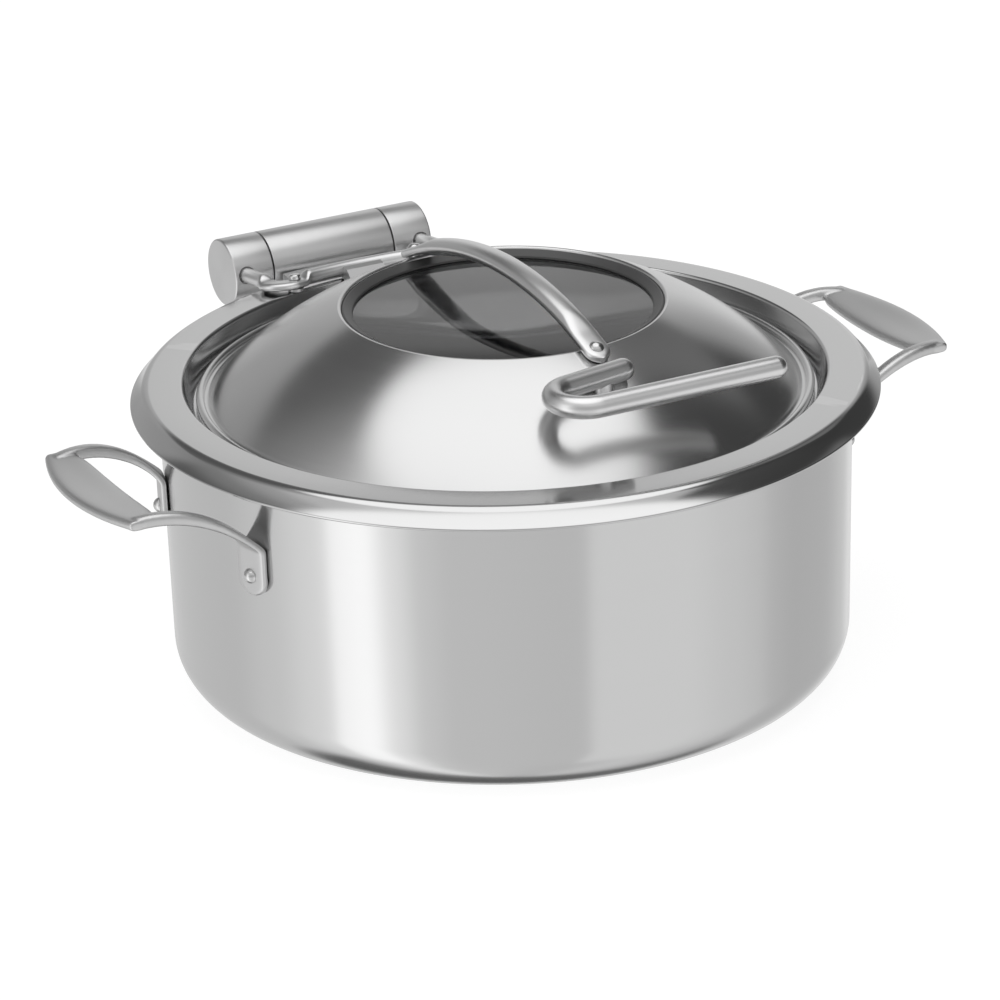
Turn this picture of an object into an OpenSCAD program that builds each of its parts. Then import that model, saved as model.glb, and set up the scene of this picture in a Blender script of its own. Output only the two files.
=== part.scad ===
// Buffet soup kettle: a clad pot, a lift-off collar that carries the soup insert,
// and a glazed dome lid on a damped rear hinge. Millimetres, +Z up, hinge at +Y.

/* [Pot] */
// Outside radius of the pot wall at the mouth
pot_r = 185.2; // [183.6:0.2:186.6]
// How much the wall draws in towards the base
pot_taper = 2.6; // [0:0.2:6]
// Height of the pot from the surface to the top of its rim
pot_h = 166.75; // [150:0.05:185]
// Thickness of the clad wall
pot_wall = 1.6; // [1.2:0.1:2.2]
// Outside radius of the corner between wall and base
pot_corner = 26; // [18:1:32]
// Radius of the rolled bead at the pot's rim
rim_bead_r = 1.8; // [1.4:0.1:2.4]
// Distance from the bonded disc's edge to the pot's widest radius
disc_in = 37.2; // [35.2:0.2:50]
// Thickness of the bonded induction disc
disc_t = 5; // [4:0.5:7]
// How far the disc stands below the pot's own base
disc_drop = 1; // [0.5:0.1:1.5]

/* [Side handles] */
// Angle of each foot from the handle's middle line
foot_angle = 17.4; // [16:0.2:18]
// Depth of the rivets below the pot's rim
foot_drop = 57.25; // [54:0.25:66]
// Width of a handle foot
foot_w = 20; // [17:0.5:22]
// Thickness of a handle foot
foot_t = 4; // [3:0.5:5]
// Height of a handle foot from its lower edge to the root of the leg
foot_h = 26; // [24:1:32]
// Thickness of the legs that carry the grip
leg_t = 8; // [7:0.2:9]
// How far the grip's outer edge stands out beyond the collar
grip_out = 54.5; // [52.5:0.2:64.5]
// Width of the leaf-shaped grip at its middle
leaf_w = 30; // [24:0.5:32]
// Thickness of the leaf-shaped grip at its middle
leaf_t = 7; // [6:0.5:10]
// Half the length of the grip between its two corners
leaf_half = 55; // [53:0.5:57]
// Depth of the grip's middle below the pot's rim
leaf_drop = 19.05; // [15:0.05:21]
// Upward tilt of the grip's outer edge
leaf_tilt = 6; // [4:0.5:16]
// Radius of a rivet head on the handle feet
rivet_head_r = 4.1; // [3.4:0.1:4.6]
// Radius of a rivet shank in the handle feet
rivet_r = 2.6; // [2:0.1:3]

/* [Collar] */
// How far the skirt's lower edge stands out from the pot's wall
overhang = 14.8; // [13:0.2:18]
// Height of the collar from its hem to its highest line
collar_h = 11.24; // [10.8:0.02:12]
// Thickness of the collar's sheet
collar_t = 1.5; // [1.2:0.1:1.8]
// Radius of the rounded shoulder above the skirt
shoulder_r = 6.2; // [5:0.2:6.8]
// How far the skirt flares out below the shoulder
flare = 4.6; // [3.6:0.1:5.6]
// Rise of the collar's flat top from shoulder to inner edge
top_rise = 0.84; // [0.4:0.02:1.4]
// Distance of the collar's inner edge inside the pot's widest radius
mouth_in = 13.7; // [12.9:0.1:14.5]
// Depth of the ledge below the collar's inner edge
ledge_drop = 12.9; // [12:0.1:14]
// Distance of the ledge's opening inside the collar's inner edge
ledge_in = 16.5; // [15:0.1:16.9]

/* [Soup insert] */
// Gap between the insert's flange and the collar's inner wall
flange_gap = 2.5; // [2:0.1:4]
// Gap between the insert's wall and the ledge's opening
insert_gap = 2; // [1.4:0.1:4]
// How much the insert's wall draws in towards its base
insert_taper = 6; // [4:0.5:12]
// Depth of the insert below the ledge
insert_depth = 132.14; // [96:1:140]
// Thickness of the insert's sheet
insert_t = 1.2; // [0.8:0.1:1.6]

/* [Lid] */
// Radius of the lid's arched section
dome_r = 217.6; // [217:0.1:218.4]
// Thickness of the dome's sheet
dome_t = 1.2; // [0.9:0.1:1.6]
// Radius of the rolled bead at the lid's edge
bead_r = 2.3; // [2:0.1:2.5]
// Distance of the bead's circle inside the collar's inner edge
bead_in = 8.9; // [8.6:0.1:9.5]
// Radius of the window opening in the dome
window_r = 85.6; // [80:0.2:86.4]
// Thickness of the window glass
glass_t = 4; // [3:0.5:5]
// Depth of the glass below the rim of its opening
glass_drop = 4.6; // [4:0.2:6]
// Width of the dark gasket band seen round the glass
gasket_w = 6; // [5:0.2:8]

/* [Lid handle] */
// How much larger the arch's radius is than the dome's
arch_more = 1.4; // [0:0.2:4]
// Turn of the arch from square to the hinge
arch_turn = 3.2; // [0:0.2:5]
// Width of the arch's oval section
arch_w = 13.5; // [11:0.5:15]
// Thickness of the arch's oval section
arch_t = 9.2; // [8:0.2:10]
// Thickness of the flattened tongues at the arch's ends
tongue_t = 5; // [4:0.2:5.4]
// Length of each tongue beyond its rivet
tongue_end = 7.2; // [6.4:0.2:9]
// Distance of the arch's rivets outside the window
arch_rivet_out = 7.2; // [6.8:0.1:8]
// Radius of the grip rod
rod_r = 6; // [5:0.1:6.4]
// Gap between the grip rod and the dome at its post
rod_gap = 2; // [1.4:0.1:5]
// Distance of the long leg outside the window
long_leg_out = 64.6; // [63:0.2:70]
// Reach of the long leg to the right
long_leg_x = 78.7; // [60:0.5:90]
// Middle radius of the hairpin bend
hairpin_r = 16.3; // [15:0.1:17.6]
// Place of the hairpin bend to the left of the lid's axis
hairpin_x = 23.9; // [20:0.5:30]
// Angle of the short leg to the long leg
short_leg_angle = 10; // [4:0.5:14]
// Length of the short leg
short_leg_l = 37.7; // [34:0.5:42]

/* [Hinge] */
// Distance of the hinge axis behind the collar's skirt
hinge_out = 23.7; // [22.7:0.2:28.7]
// Height of the hinge axis above the skirt's lower edge
hinge_up = 8.9; // [8:0.1:12]
// Outside radius of the hinge barrel
barrel_r = 19.2; // [17.6:0.2:20]
// Half the overall length of the barrel with its caps
barrel_half = 61.7; // [59.2:0.5:68.2]
// Half the length of the fixed centre section
centre_half = 37.4; // [34:0.2:40]
// Gap between the centre section and each cap
cap_gap = 0.8; // [0.6:0.1:1.2]
// Radius of the hinge shaft
shaft_r = 6; // [5:0.1:7]
// Running clearance between shaft and bushing
shaft_fit = 0.04; // [0.02:0.01:0.08]
// Radius of the yoke's rod
yoke_rod_r = 4.25; // [3.6:0.05:4.5]
// Distance of each yoke leg inside the end of the barrel
leg_in = 7; // [5.6:0.1:8]
// Upward slope of the yoke from the hinge axis
yoke_slope = 8.4; // [8.2:0.2:12]
// Distance of the yoke's cross bar outside the lid's bead
bar_out = 14.3; // [13.3:0.1:15.3]
// Radius of the bends between legs and cross bar
yoke_bend_r = 10; // [8:0.5:13]
// Width of the flattened lugs on the cross bar
lug_w = 12.4; // [11:0.2:13]
// Thickness of the flattened lugs
lug_t = 5; // [4:0.2:6]

/* [Clearances] */
// Gap between pieces that seat on each other
seat = 0.1; // [0.05:0.01:0.2]
// Gap between a fixed pin or screw and its hole
pin_fit = 0.08; // [0.05:0.01:0.15]
// Gap between the closed lid's bead and the insert's flange
lid_rest = 0.3; // [0.2:0.05:0.6]

/* [Hidden] */
steel = "gainsboro";
satin = "silver";
dark = "dimgray";

// ---- heights and radii that follow from the sizes above ----
pot_base_z = disc_drop;
pot_base_r = pot_r - pot_taper;
function wall_r(z) = pot_base_r + pot_taper * z / pot_h;
disc_r = pot_r - disc_in;
foot_z = pot_h - foot_drop;
leaf_z = pot_h - leaf_drop;
// collar: it rests on the pot's rim, and its parts follow from its inner edge
collar_r = pot_r + overhang;
mouth_r = pot_r - mouth_in;
mouth_roll = 1.8;
hem_proud = 0.15;
hem_r = collar_t / 2 + hem_proud;
shoulder_x = collar_r - flare - shoulder_r;
rim_x = wall_r(pot_h) - pot_wall / 2;
rim_share = (shoulder_x - rim_x) / (shoulder_x - mouth_r - mouth_roll);
shoulder_top = pot_h + seat + collar_t - top_rise * rim_share;
shoulder_z = shoulder_top - shoulder_r;
top_z = shoulder_top + top_rise;
skirt_z = top_z - collar_h;
hem = [collar_r - hem_r, skirt_z + hem_r];
hem_way = hem - [shoulder_x, shoulder_z];
// Direction that the flared skirt faces.
skirt_face = atan2(hem_way[1], hem_way[0])
    + acos((shoulder_r - collar_t / 2) / norm(hem_way));
ledge_z = top_z - ledge_drop;
wall_lean = 4.6;
ledge_wall_r = mouth_r - wall_lean;
ledge_r = mouth_r - ledge_in;
// insert
insert_r = ledge_r - insert_gap;
insert_base_r = insert_r - insert_taper;
insert_flange_r = ledge_wall_r - flange_gap;
insert_z = ledge_z + seat - insert_depth;
insert_corner = 24;
flange_top = ledge_z + seat + insert_t;
// lid: its bead rests over the insert's flange, and the dome springs from the bead
bead_ring_r = mouth_r - bead_in;
bead_z = flange_top + lid_rest + bead_r;
bead_top = bead_z + bead_r;
web_w = 4.2;
dome_edge_r = bead_ring_r - web_w;
dome_sink = 3.07;
// The dome's arc has its centre a little off the axis.
dome_cx = 3.5;
dome_cz = bead_top - dome_sink - sqrt(pow(dome_r, 2) - pow(dome_edge_r - dome_cx, 2));
function dome_z(r) = dome_cz + sqrt(pow(dome_r, 2) - pow(r - dome_cx, 2));
lip_roll = 1.8;
lip_over = 1.6;
window_top = dome_z(window_r + lip_roll);
glass_top = window_top - glass_drop;
lip_bottom = glass_top - glass_t - lip_over;
// arch: its tongues lie along the dome just outside the window
arch_r = dome_r + arch_more;
arch_rivet_at = window_r + arch_rivet_out;
arch_half = arch_rivet_at + tongue_end;
arch_lean = asin(arch_rivet_at / arch_r);
tongue_gap = 0.41;
arch_cz = dome_z(arch_rivet_at) + (tongue_t / 2 + tongue_gap) / cos(arch_lean)
    - arch_r * cos(arch_lean);
// hinge and yoke
hinge_y = collar_r + hinge_out;
hinge_z = skirt_z + hinge_up;
hinge_d = hinge_y / cos(yoke_slope);
yoke_leg_x = barrel_half - leg_in;
yoke_bar_r = bead_ring_r + bar_out;
lug_rivet_in = 13.2;
lug_rivet_angle = asin((yoke_leg_x - lug_rivet_in) / yoke_bar_r);
lug_sink = yoke_rod_r - lug_t / 2;
lug_rivet_r = 2.1;
// grip rod
long_leg_y = window_r + long_leg_out;
rod_short_y = long_leg_y - hairpin_r;
function short_leg(t) = [-hairpin_x, -rod_short_y]
    + [hairpin_r * cos(90 + short_leg_angle), hairpin_r * sin(90 + short_leg_angle)]
    + [short_leg_l * t * cos(short_leg_angle), short_leg_l * t * sin(short_leg_angle)];
grip_at = short_leg(hairpin_x / short_leg_l * 1.05);
rod_z = dome_z(norm(grip_at)) + rod_gap + rod_r;

// ---- general helpers ----
function mix(a, b, t) = a + (b - a) * t;
function ease(t) = let (u = min(1, max(0, t))) u * u * (3 - 2 * u);
function polar(r, a) = [r * cos(a), r * sin(a)];
function unit(v) = v / norm(v);
// Points along an arc, from one angle to another in n steps.
function arc(c, r, a0, a1, n) = [for (i = [0:n]) c + polar(r, mix(a0, a1, i / n))];

// One closed ring of a rounded section: centre, two axes, two half sizes, power.
function ring(c, u, v, a, b, p, n, dish = 0) = [
    for (i = [0:n - 1])
        let (
            t = 360 * i / n,
            x = sign(cos(t)) * pow(abs(cos(t)), 2 / p),
            y = sign(sin(t)) * pow(abs(sin(t)), 2 / p),
            k = y > 0 ? 1 - dish * (1 - x * x) : 1
        )
        c + u * a * x + v * b * y * k
];

// A closed skin through a list of rings, with a flat cap at each end.
module skin(rings) {
    n = len(rings[0]);
    m = len(rings);
    points = [for (r = rings) for (q = r) q];
    sides = [
        for (j = [0:m - 2]) for (i = [0:n - 1])
            let (a = j * n + i, b = j * n + (i + 1) % n)
            [a, b, b + n, a + n]
    ];
    caps = [
        [for (i = [n - 1:-1:0]) i],
        [for (i = [0:n - 1]) (m - 1) * n + i]
    ];
    polyhedron(points, concat(sides, caps), convexity = 4);
}

// Part of a flat ring between two angles, as a 2-D shape.
module sector(r_in, r_out, a0, a1) {
    m = ceil((a1 - a0) / 30);
    far = r_out * 1.3;
    intersection() {
        difference() {
            circle(r_out, $fn = 96);
            if (r_in > 0) circle(r_in, $fn = 96);
        }
        polygon(concat([[0, 0]], [for (i = [0:m]) polar(far, a0 + (a1 - a0) * i / m)]));
    }
}

// A straight bar of sheet between two points of a profile.
module strip(a, b, t) {
    d = unit(b - a);
    n = [-d[1], d[0]] * t / 2;
    polygon([a - n, b - n, b + n, a + n]);
}

module revolve(n = 180) {
    rotate_extrude($fn = n) children();
}

// Everything that lies under the lid's outer surface, grown by a gap.
module lid_envelope(gap) {
    revolve(540) {
        translate([bead_ring_r, bead_z]) circle(bead_r + gap, $fn = 48);
        intersection() {
            translate([dome_cx, dome_cz]) circle(dome_r + gap, $fn = 720);
            translate([window_r + 2, bead_z - 10])
                square([dome_edge_r - window_r, dome_r]);
        }
    }
}

// A round head with a low dome, its base at z = 0.
module button(r, h) {
    rotate_extrude($fn = 48) {
        intersection() {
            translate([0, h - (r * r + h * h) / (2 * h)])
                circle((r * r + h * h) / (2 * h), $fn = 96);
            square([r, h]);
        }
    }
}

// ---- pot ----
module at_foot(side, turn) {
    // Frame on the wall at a rivet: x outward, z along the wall.
    rotate([0, 0, (side > 0 ? 0 : 180) + turn])
        translate([wall_r(foot_z), 0, foot_z])
            rotate([0, atan(pot_taper / pot_h), 0])
                children();
}

module pot_profile() {
    c = pot_corner;
    lean = atan(pot_taper / pot_h);
    base_r = wall_r(pot_base_z + c) - c;
    union() {
        // corner
        translate([base_r, pot_base_z + c]) sector(c - pot_wall, c, -90, 0);
        // wall
        polygon([
            [wall_r(pot_base_z + c), pot_base_z + c],
            [wall_r(pot_h - rim_bead_r), pot_h - rim_bead_r],
            [wall_r(pot_h - rim_bead_r) - pot_wall, pot_h - rim_bead_r],
            [wall_r(pot_base_z + c) - pot_wall, pot_base_z + c]
        ]);
        // rolled rim
        translate([wall_r(pot_h) - pot_wall / 2, pot_h - rim_bead_r]) circle(rim_bead_r, $fn = 48);
        // ring of the base outside the disc, the step, and the raised floor
        polygon([
            [disc_r + seat, pot_base_z], [base_r, pot_base_z],
            [base_r, pot_base_z + pot_wall],
            [disc_r + seat + pot_wall, pot_base_z + pot_wall],
            [disc_r + seat + pot_wall, disc_t + seat + pot_wall],
            [0, disc_t + seat + pot_wall],
            [0, disc_t + seat], [disc_r + seat, disc_t + seat]
        ]);
    }
}

module pot_body() {
    color(steel) difference() {
        revolve() pot_profile();
        for (side = [-1, 1]) for (turn = [-foot_angle, foot_angle])
            at_foot(side, turn) rotate([0, 90, 0])
                cylinder(h = 20, r = rivet_r + pin_fit, center = true, $fn = 48);
    }
}

module base_disc() {
    ch = 0.8;
    color(satin) revolve() polygon([
        [0, 0], [disc_r - ch, 0], [disc_r, ch], [disc_r, disc_t], [0, disc_t]
    ]);
}

// ---- side handles: two feet, two curved legs and one leaf-shaped grip ----
grip_reach = collar_r + grip_out;
corner_x = grip_reach - 15;
leg_y = leaf_half - 5;
// Distance of a foot's lower end below its rivet.
foot_low = 11;
function foot_x(z) = wall_r(z) + seat + foot_t / 2;
// Middle line of one leg, in the plane that stands on its foot's radius.
function leg_pt(t) = let (
    top = foot_z + foot_h - foot_low,
    z0 = foot_z - foot_low
) t < 0.35
    ? let (z = mix(z0, top, t / 0.35), r = foot_x(z))
      [r * cos(foot_angle), r * sin(foot_angle), z]
    : let (
        s = (t - 0.35) / 0.65,
        r = foot_x(top),
        a = [r * cos(foot_angle), r * sin(foot_angle), top],
        b = a + [1.2, 0.1, 4],
        c = [collar_r + 6, leg_y + 8.4, leaf_z + 8],
        d = [corner_x, leg_y, leaf_z + 1.6],
        w = 1 - s
    ) a * w * w * w + b * 3 * w * w * s + c * 3 * w * s * s + d * s * s * s;

function leg_ring(t, n) = let (
    e = 0.004,
    d = unit(leg_pt(min(1, t + e)) - leg_pt(max(0, t - e))),
    turn = mix(foot_angle, 0, ease((t - 0.3) / 0.5)),
    u = [-sin(turn), cos(turn), 0],
    v = unit(cross(u, d)),
    k = ease((t - 0.32) / 0.36),
    round_end = t < 0.12 ? sqrt(max(0.02, 1 - pow(1 - t / 0.12, 2))) : 1,
    a = mix(foot_w, leg_t, k) / 2 * round_end,
    b = mix(foot_t, leg_t - 1, ease((t - 0.45) / 0.45)) / 2
) ring(leg_pt(t), u, v, a, b, mix(5, 3.2, k), n);

module handle_leg() {
    steps = [
        0, 0.01, 0.025, 0.045, 0.07, 0.095, 0.12, 0.2, 0.28, 0.34, 0.39, 0.44, 0.49, 0.54,
        0.59, 0.64, 0.69, 0.74, 0.79, 0.84, 0.89, 0.94, 1
    ];
    skin([for (t = steps) leg_ring(t, 20)]);
}

// Leaf: inner and outer edge, height and half thickness along the grip.
function leaf_in(t) = grip_reach - leaf_w * cos(leaf_tilt) + 1.5 * t * t + 11 * pow(t, 12);
function leaf_out(t) = grip_reach - 10.8 * t * t;
module leaf() {
    n = 24;
    skin([
        for (i = [-14:14])
            let (
                t = sin(90 * i / 14),
                a = max(1.4, (leaf_out(t) - leaf_in(t)) / 2 / cos(leaf_tilt)),
                b = leaf_t / 2 * (1 - 0.24 * pow(abs(t), 2.4)) * (abs(i) == 14 ? 0.6 : 1),
                m = (leaf_out(t) + leaf_in(t)) / 2,
                tilt = leaf_tilt * (1 - t * t * 0.8),
                c = [m, leaf_half * t, leaf_z + 2 * t * t],
                u = [cos(tilt), 0, sin(tilt)],
                v = [-sin(tilt), 0, cos(tilt)]
            )
            ring(c, u, v, abs(i) == 14 ? a * 0.6 : a, b, 3.2, n, 0.25 * (1 - t * t))
    ]);
}

module side_handle(side) {
    color(satin) rotate([0, 0, side > 0 ? 0 : 180]) difference() {
        union() {
            handle_leg();
            mirror([0, 1, 0]) handle_leg();
            leaf();
        }
        for (turn = [-foot_angle, foot_angle])
            at_foot(1, turn) rotate([0, 90, 0])
                cylinder(h = 20, r = rivet_r + 2 * pin_fit, center = true, $fn = 32);
    }
}

module left_handle() { side_handle(-1); }
module right_handle() { side_handle(1); }

// Solid rivet: low outer head, shank, and a flat closing head inside the pot.
module side_rivets(side) {
    out = foot_t + 2 * seat;
    in = pot_wall + 1.8 + seat;
    color(steel) for (turn = [-foot_angle, foot_angle])
        at_foot(side, turn) rotate([0, 90, 0]) {
            translate([0, 0, out]) button(rivet_head_r, 3.2);
            translate([0, 0, -in]) cylinder(h = in + out + 0.2, r = rivet_r, $fn = 48);
            translate([0, 0, -in]) cylinder(h = 1.8, r = rivet_head_r, $fn = 48);
        }
}

module left_handle_rivets() { side_rivets(-1); }
module right_handle_rivets() { side_rivets(1); }

// ---- collar ----
bracket_w = 68;
bracket_screw_x = 22;
skirt_out = polar(1, skirt_face);
skirt_down = polar(1, skirt_face - 90);
skirt_top = [shoulder_x, shoulder_z] + shoulder_r * skirt_out;
skirt_end = hem + collar_t / 2 * skirt_out;
skirt_len = norm(skirt_end - skirt_top);
screw_spot = skirt_top + skirt_down * (skirt_len * 0.46);

hem_turn = acos(collar_t / 2 / hem_r);

module collar_profile() {
    t = collar_t;
    mx = mouth_r + mouth_roll;
    mz = top_z - mouth_roll;
    c = [shoulder_x, shoulder_z];
    polygon(concat(
        // outside: hem, flared skirt, shoulder, gently rising top, rolled inner edge
        arc(hem, hem_r, skirt_face - 180 - hem_turn, skirt_face + hem_turn, 16),
        arc(c, shoulder_r, skirt_face, 90, 6),
        arc([mx, mz], mouth_roll, 90, 180, 9),
        // steep wall and ledge
        [[ledge_wall_r, ledge_z], [ledge_r, ledge_z], [ledge_r, ledge_z - t],
         [ledge_wall_r + t, ledge_z - t], [ledge_wall_r + t, ledge_z]],
        // inside, back to the hem
        arc([mx, mz], mouth_roll - t, 180, 90, 3),
        arc(c, shoulder_r - t, 90, skirt_face, 6)
    ));
}

module collar_ring() {
    color(steel) difference() {
        revolve() collar_profile();
        for (x = [-bracket_screw_x, 0, bracket_screw_x])
            bracket_hole(x) cylinder(h = 9, r = 1.8 + pin_fit, center = true, $fn = 32);
    }
}

// Frame of a bracket screw: z points squarely out of the flared skirt.
module bracket_hole(x) {
    rotate([0, 0, -asin(x / screw_spot[0])]) translate([0, screw_spot[0], screw_spot[1]])
        rotate([skirt_face - 90, 0, 0]) children();
}

// ---- insert ----
module soup_insert() {
    c = insert_corner;
    wall_top = ledge_z + seat;
    color(steel) revolve() union() {
        // flange with a small downward curl at its edge
        translate([insert_r - insert_t, wall_top])
            square([insert_flange_r - insert_r + insert_t - 0.6, insert_t]);
        translate([insert_flange_r - 0.6, wall_top + 0.6]) circle(0.6, $fn = 32);
        polygon([
            [insert_r - insert_t, wall_top + insert_t],
            [insert_base_r - insert_t, insert_z + c],
            [insert_base_r, insert_z + c],
            [insert_r, wall_top]
        ]);
        translate([insert_base_r - c, insert_z + c]) sector(c - insert_t, c, -90, 0);
        translate([0, insert_z]) square([insert_base_r - c, insert_t]);
    }
}

// ---- hinge, fixed half ----
cradle_w = 40;
cradle_z = hinge_z - barrel_r - 4;
cradle_screw_x = 12;
plate_out = collar_r + 5;
module hinge_bracket() {
    color(satin) difference() {
        union() {
            // plate that follows the flared skirt
            intersection() {
                translate([-bracket_w / 2, collar_r * 0.9, cradle_z])
                    cube([bracket_w, collar_r * 0.2, shoulder_top - 1 - cradle_z]);
                revolve() polygon(concat(
                    [[collar_r + seat, cradle_z - 1], [plate_out, cradle_z - 1],
                     [plate_out, shoulder_top], skirt_top + seat * skirt_out],
                    arc(hem, hem_r + seat,
                        skirt_face + acos((collar_t / 2 + seat) / (hem_r + seat)), 0, 8)
                ));
            }
            // cradle under the barrel
            translate([-cradle_w / 2, collar_r + 2, cradle_z])
                cube([cradle_w, hinge_out + 6, skirt_z + 4 - cradle_z]);
        }
        rotate_x_cylinder(barrel_r + seat, bracket_w + 2);
        for (x = [-bracket_screw_x, 0, bracket_screw_x])
            bracket_hole(x) cylinder(h = 9, r = 1.9, center = true, $fn = 32);
        for (x = [-cradle_screw_x, cradle_screw_x]) translate([x, hinge_y, cradle_z - 1])
            cylinder(h = 12, r = 2.1, $fn = 32);
    }
}

module rotate_x_cylinder(r, l) {
    translate([0, hinge_y, hinge_z]) rotate([0, 90, 0])
        cylinder(h = l, r = r, center = true, $fn = 96);
}

module bracket_screws() {
    wall = barrel_wall;
    color(dark) {
        // three from inside the skirt
        for (x = [-bracket_screw_x, 0, bracket_screw_x]) bracket_hole(x) {
            translate([0, 0, -collar_t - seat - 1.8]) cylinder(h = 1.8, r = 2.8, $fn = 48);
            translate([0, 0, -collar_t - seat - 0.4]) cylinder(h = 5.6, r = 1.8, $fn = 48);
        }
        // two from below into the barrel's wall
        for (x = [-cradle_screw_x, cradle_screw_x]) translate([x, hinge_y, 0]) {
            translate([0, 0, cradle_z - seat - 2.2]) cylinder(h = 2.2, r = 3.4, $fn = 48);
            translate([0, 0, cradle_z - seat - 0.4])
                cylinder(h = hinge_z - barrel_r + wall - seat - cradle_z, r = 2, $fn = 48);
        }
    }
}

barrel_wall = 2.6;
bush_r = barrel_r - barrel_wall - 0.02;
module hinge_barrel() {
    ch = 0.5;
    color(satin) difference() {
        translate([0, hinge_y, hinge_z]) rotate([0, 90, 0]) rotate_extrude($fn = 120) polygon([
            [barrel_r - barrel_wall, -centre_half], [barrel_r - ch, -centre_half],
            [barrel_r, -centre_half + ch], [barrel_r, centre_half - ch],
            [barrel_r - ch, centre_half], [barrel_r - barrel_wall, centre_half]
        ]);
        for (x = [-cradle_screw_x, cradle_screw_x])
            translate([x, hinge_y, hinge_z - barrel_r - 2])
                cylinder(h = barrel_r / 2, r = 2 + pin_fit, $fn = 32);
    }
}

bush_l = 14;
module barrel_bushings() {
    color(dark) translate([0, hinge_y, hinge_z]) rotate([0, 90, 0])
        for (side = [-1, 1]) difference() {
            translate([0, 0, side * (centre_half - bush_l / 2)])
                cylinder(h = bush_l, r = bush_r, center = true, $fn = 96);
            cylinder(h = 4 * barrel_half, r = shaft_r + shaft_fit, center = true, $fn = 96);
        }
}

module damper_sleeve() {
    l = 2 * (centre_half - bush_l) - 2 * seat;
    color(dark) translate([0, hinge_y, hinge_z]) rotate([0, 90, 0]) difference() {
        cylinder(h = l, r = bush_r, center = true, $fn = 96);
        cylinder(h = l + 2, r = shaft_r + 0.3, center = true, $fn = 96);
    }
}

// ---- hinge, moving half ----
module hinge_shaft() {
    l = 2 * (barrel_half - 4.2);
    color(steel) rotate_x_cylinder(shaft_r, l);
}

// Frame of the yoke: origin on the hinge axis, y back along its slope.
module yoke_frame() {
    translate([0, hinge_y, hinge_z]) rotate([-yoke_slope, 0, 0]) children();
}

module hinge_cap(side) {
    l = barrel_half - centre_half - cap_gap;
    x0 = centre_half + cap_gap;
    ch = 1;
    color(satin) difference() {
        translate([0, hinge_y, hinge_z]) rotate([0, side * 90, 0])
            rotate_extrude($fn = 120) polygon([
                [0, barrel_half - 4], [shaft_r + pin_fit, barrel_half - 4],
                [shaft_r + pin_fit, x0], [barrel_r - 0.4, x0], [barrel_r, x0 + 0.4],
                [barrel_r, barrel_half - ch], [barrel_r - ch, barrel_half],
                [0, barrel_half]
            ]);
        yoke_frame() translate([side * yoke_leg_x, 0, 0]) rotate([90, 0, 0]) {
            translate([0, 0, shaft_r + 0.4])
                cylinder(h = barrel_r, r = yoke_rod_r + pin_fit, $fn = 48);
            translate([0, 0, barrel_r - 1.2])
                cylinder(h = 4, r = yoke_rod_r + 0.7, $fn = 48);
        }
        yoke_frame() translate([side * yoke_leg_x, 0, 0]) rotate([180, 0, 0])
            cylinder(h = barrel_r + 2, r = 2 + pin_fit, $fn = 32);
    }
}

module left_hinge_cap() { hinge_cap(-1); }
module right_hinge_cap() { hinge_cap(1); }

module thrust_washers() {
    g = (cap_gap - 0.5) / 2;
    color(dark) translate([0, hinge_y, hinge_z]) rotate([0, 90, 0])
        for (side = [-1, 1]) difference() {
            translate([0, 0, side * (centre_half + cap_gap / 2)])
                cylinder(h = cap_gap - 2 * g, r = barrel_r - 2.2, center = true, $fn = 96);
            cylinder(h = 4 * barrel_half, r = shaft_r + 0.3, center = true, $fn = 96);
        }
}

// Grub screws under the caps that hold the shaft.
module cap_screws() {
    color(dark) yoke_frame() for (side = [-1, 1])
        translate([side * yoke_leg_x, 0, 0]) rotate([180, 0, 0])
            translate([0, 0, shaft_r + seat]) difference() {
                cylinder(h = barrel_r - shaft_r - 1.2, r = 2, $fn = 48);
                translate([0, 0, barrel_r - shaft_r - 3]) cylinder(h = 3, r = 1.15, $fn = 6);
            }
}

// Yoke: two legs, two bends and a cross bar that follows the lid's edge, swept in
// one piece. Near each corner the round rod is pressed into a flat lug.
yoke_bend_x = yoke_leg_x - yoke_bend_r;
yoke_far = yoke_bar_r + yoke_bend_r;
yoke_bend_d = hinge_d - sqrt(pow(yoke_far, 2) - pow(yoke_bend_x, 2));
yoke_half = asin(yoke_bend_x / yoke_far);
yoke_root = shaft_r + 0.8;
// Stations on the right half: [x, y, direction] in the yoke's own frame.
yoke_right = concat(
    [for (i = [0:4]) [yoke_leg_x, -mix(yoke_root, yoke_bend_d - 0.2, i / 4), -90]],
    [for (i = [0:10]) let (a = -(90 + yoke_half) * i / 10)
        concat([yoke_bend_x, -yoke_bend_d] + polar(yoke_bend_r, a), [a - 90])],
    [for (i = [1:9]) let (a = 90 - yoke_half * (1 - i / 10))
        concat([0, -hinge_d] + polar(yoke_bar_r, a), [a - 90 + 180])]
);
yoke_stations = concat(
    yoke_right,
    [[0, yoke_bar_r - hinge_d, 180]],
    [for (i = [len(yoke_right) - 1:-1:0]) let (q = yoke_right[i]) [-q[0], q[1], 360 - q[2]]]
);
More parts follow.
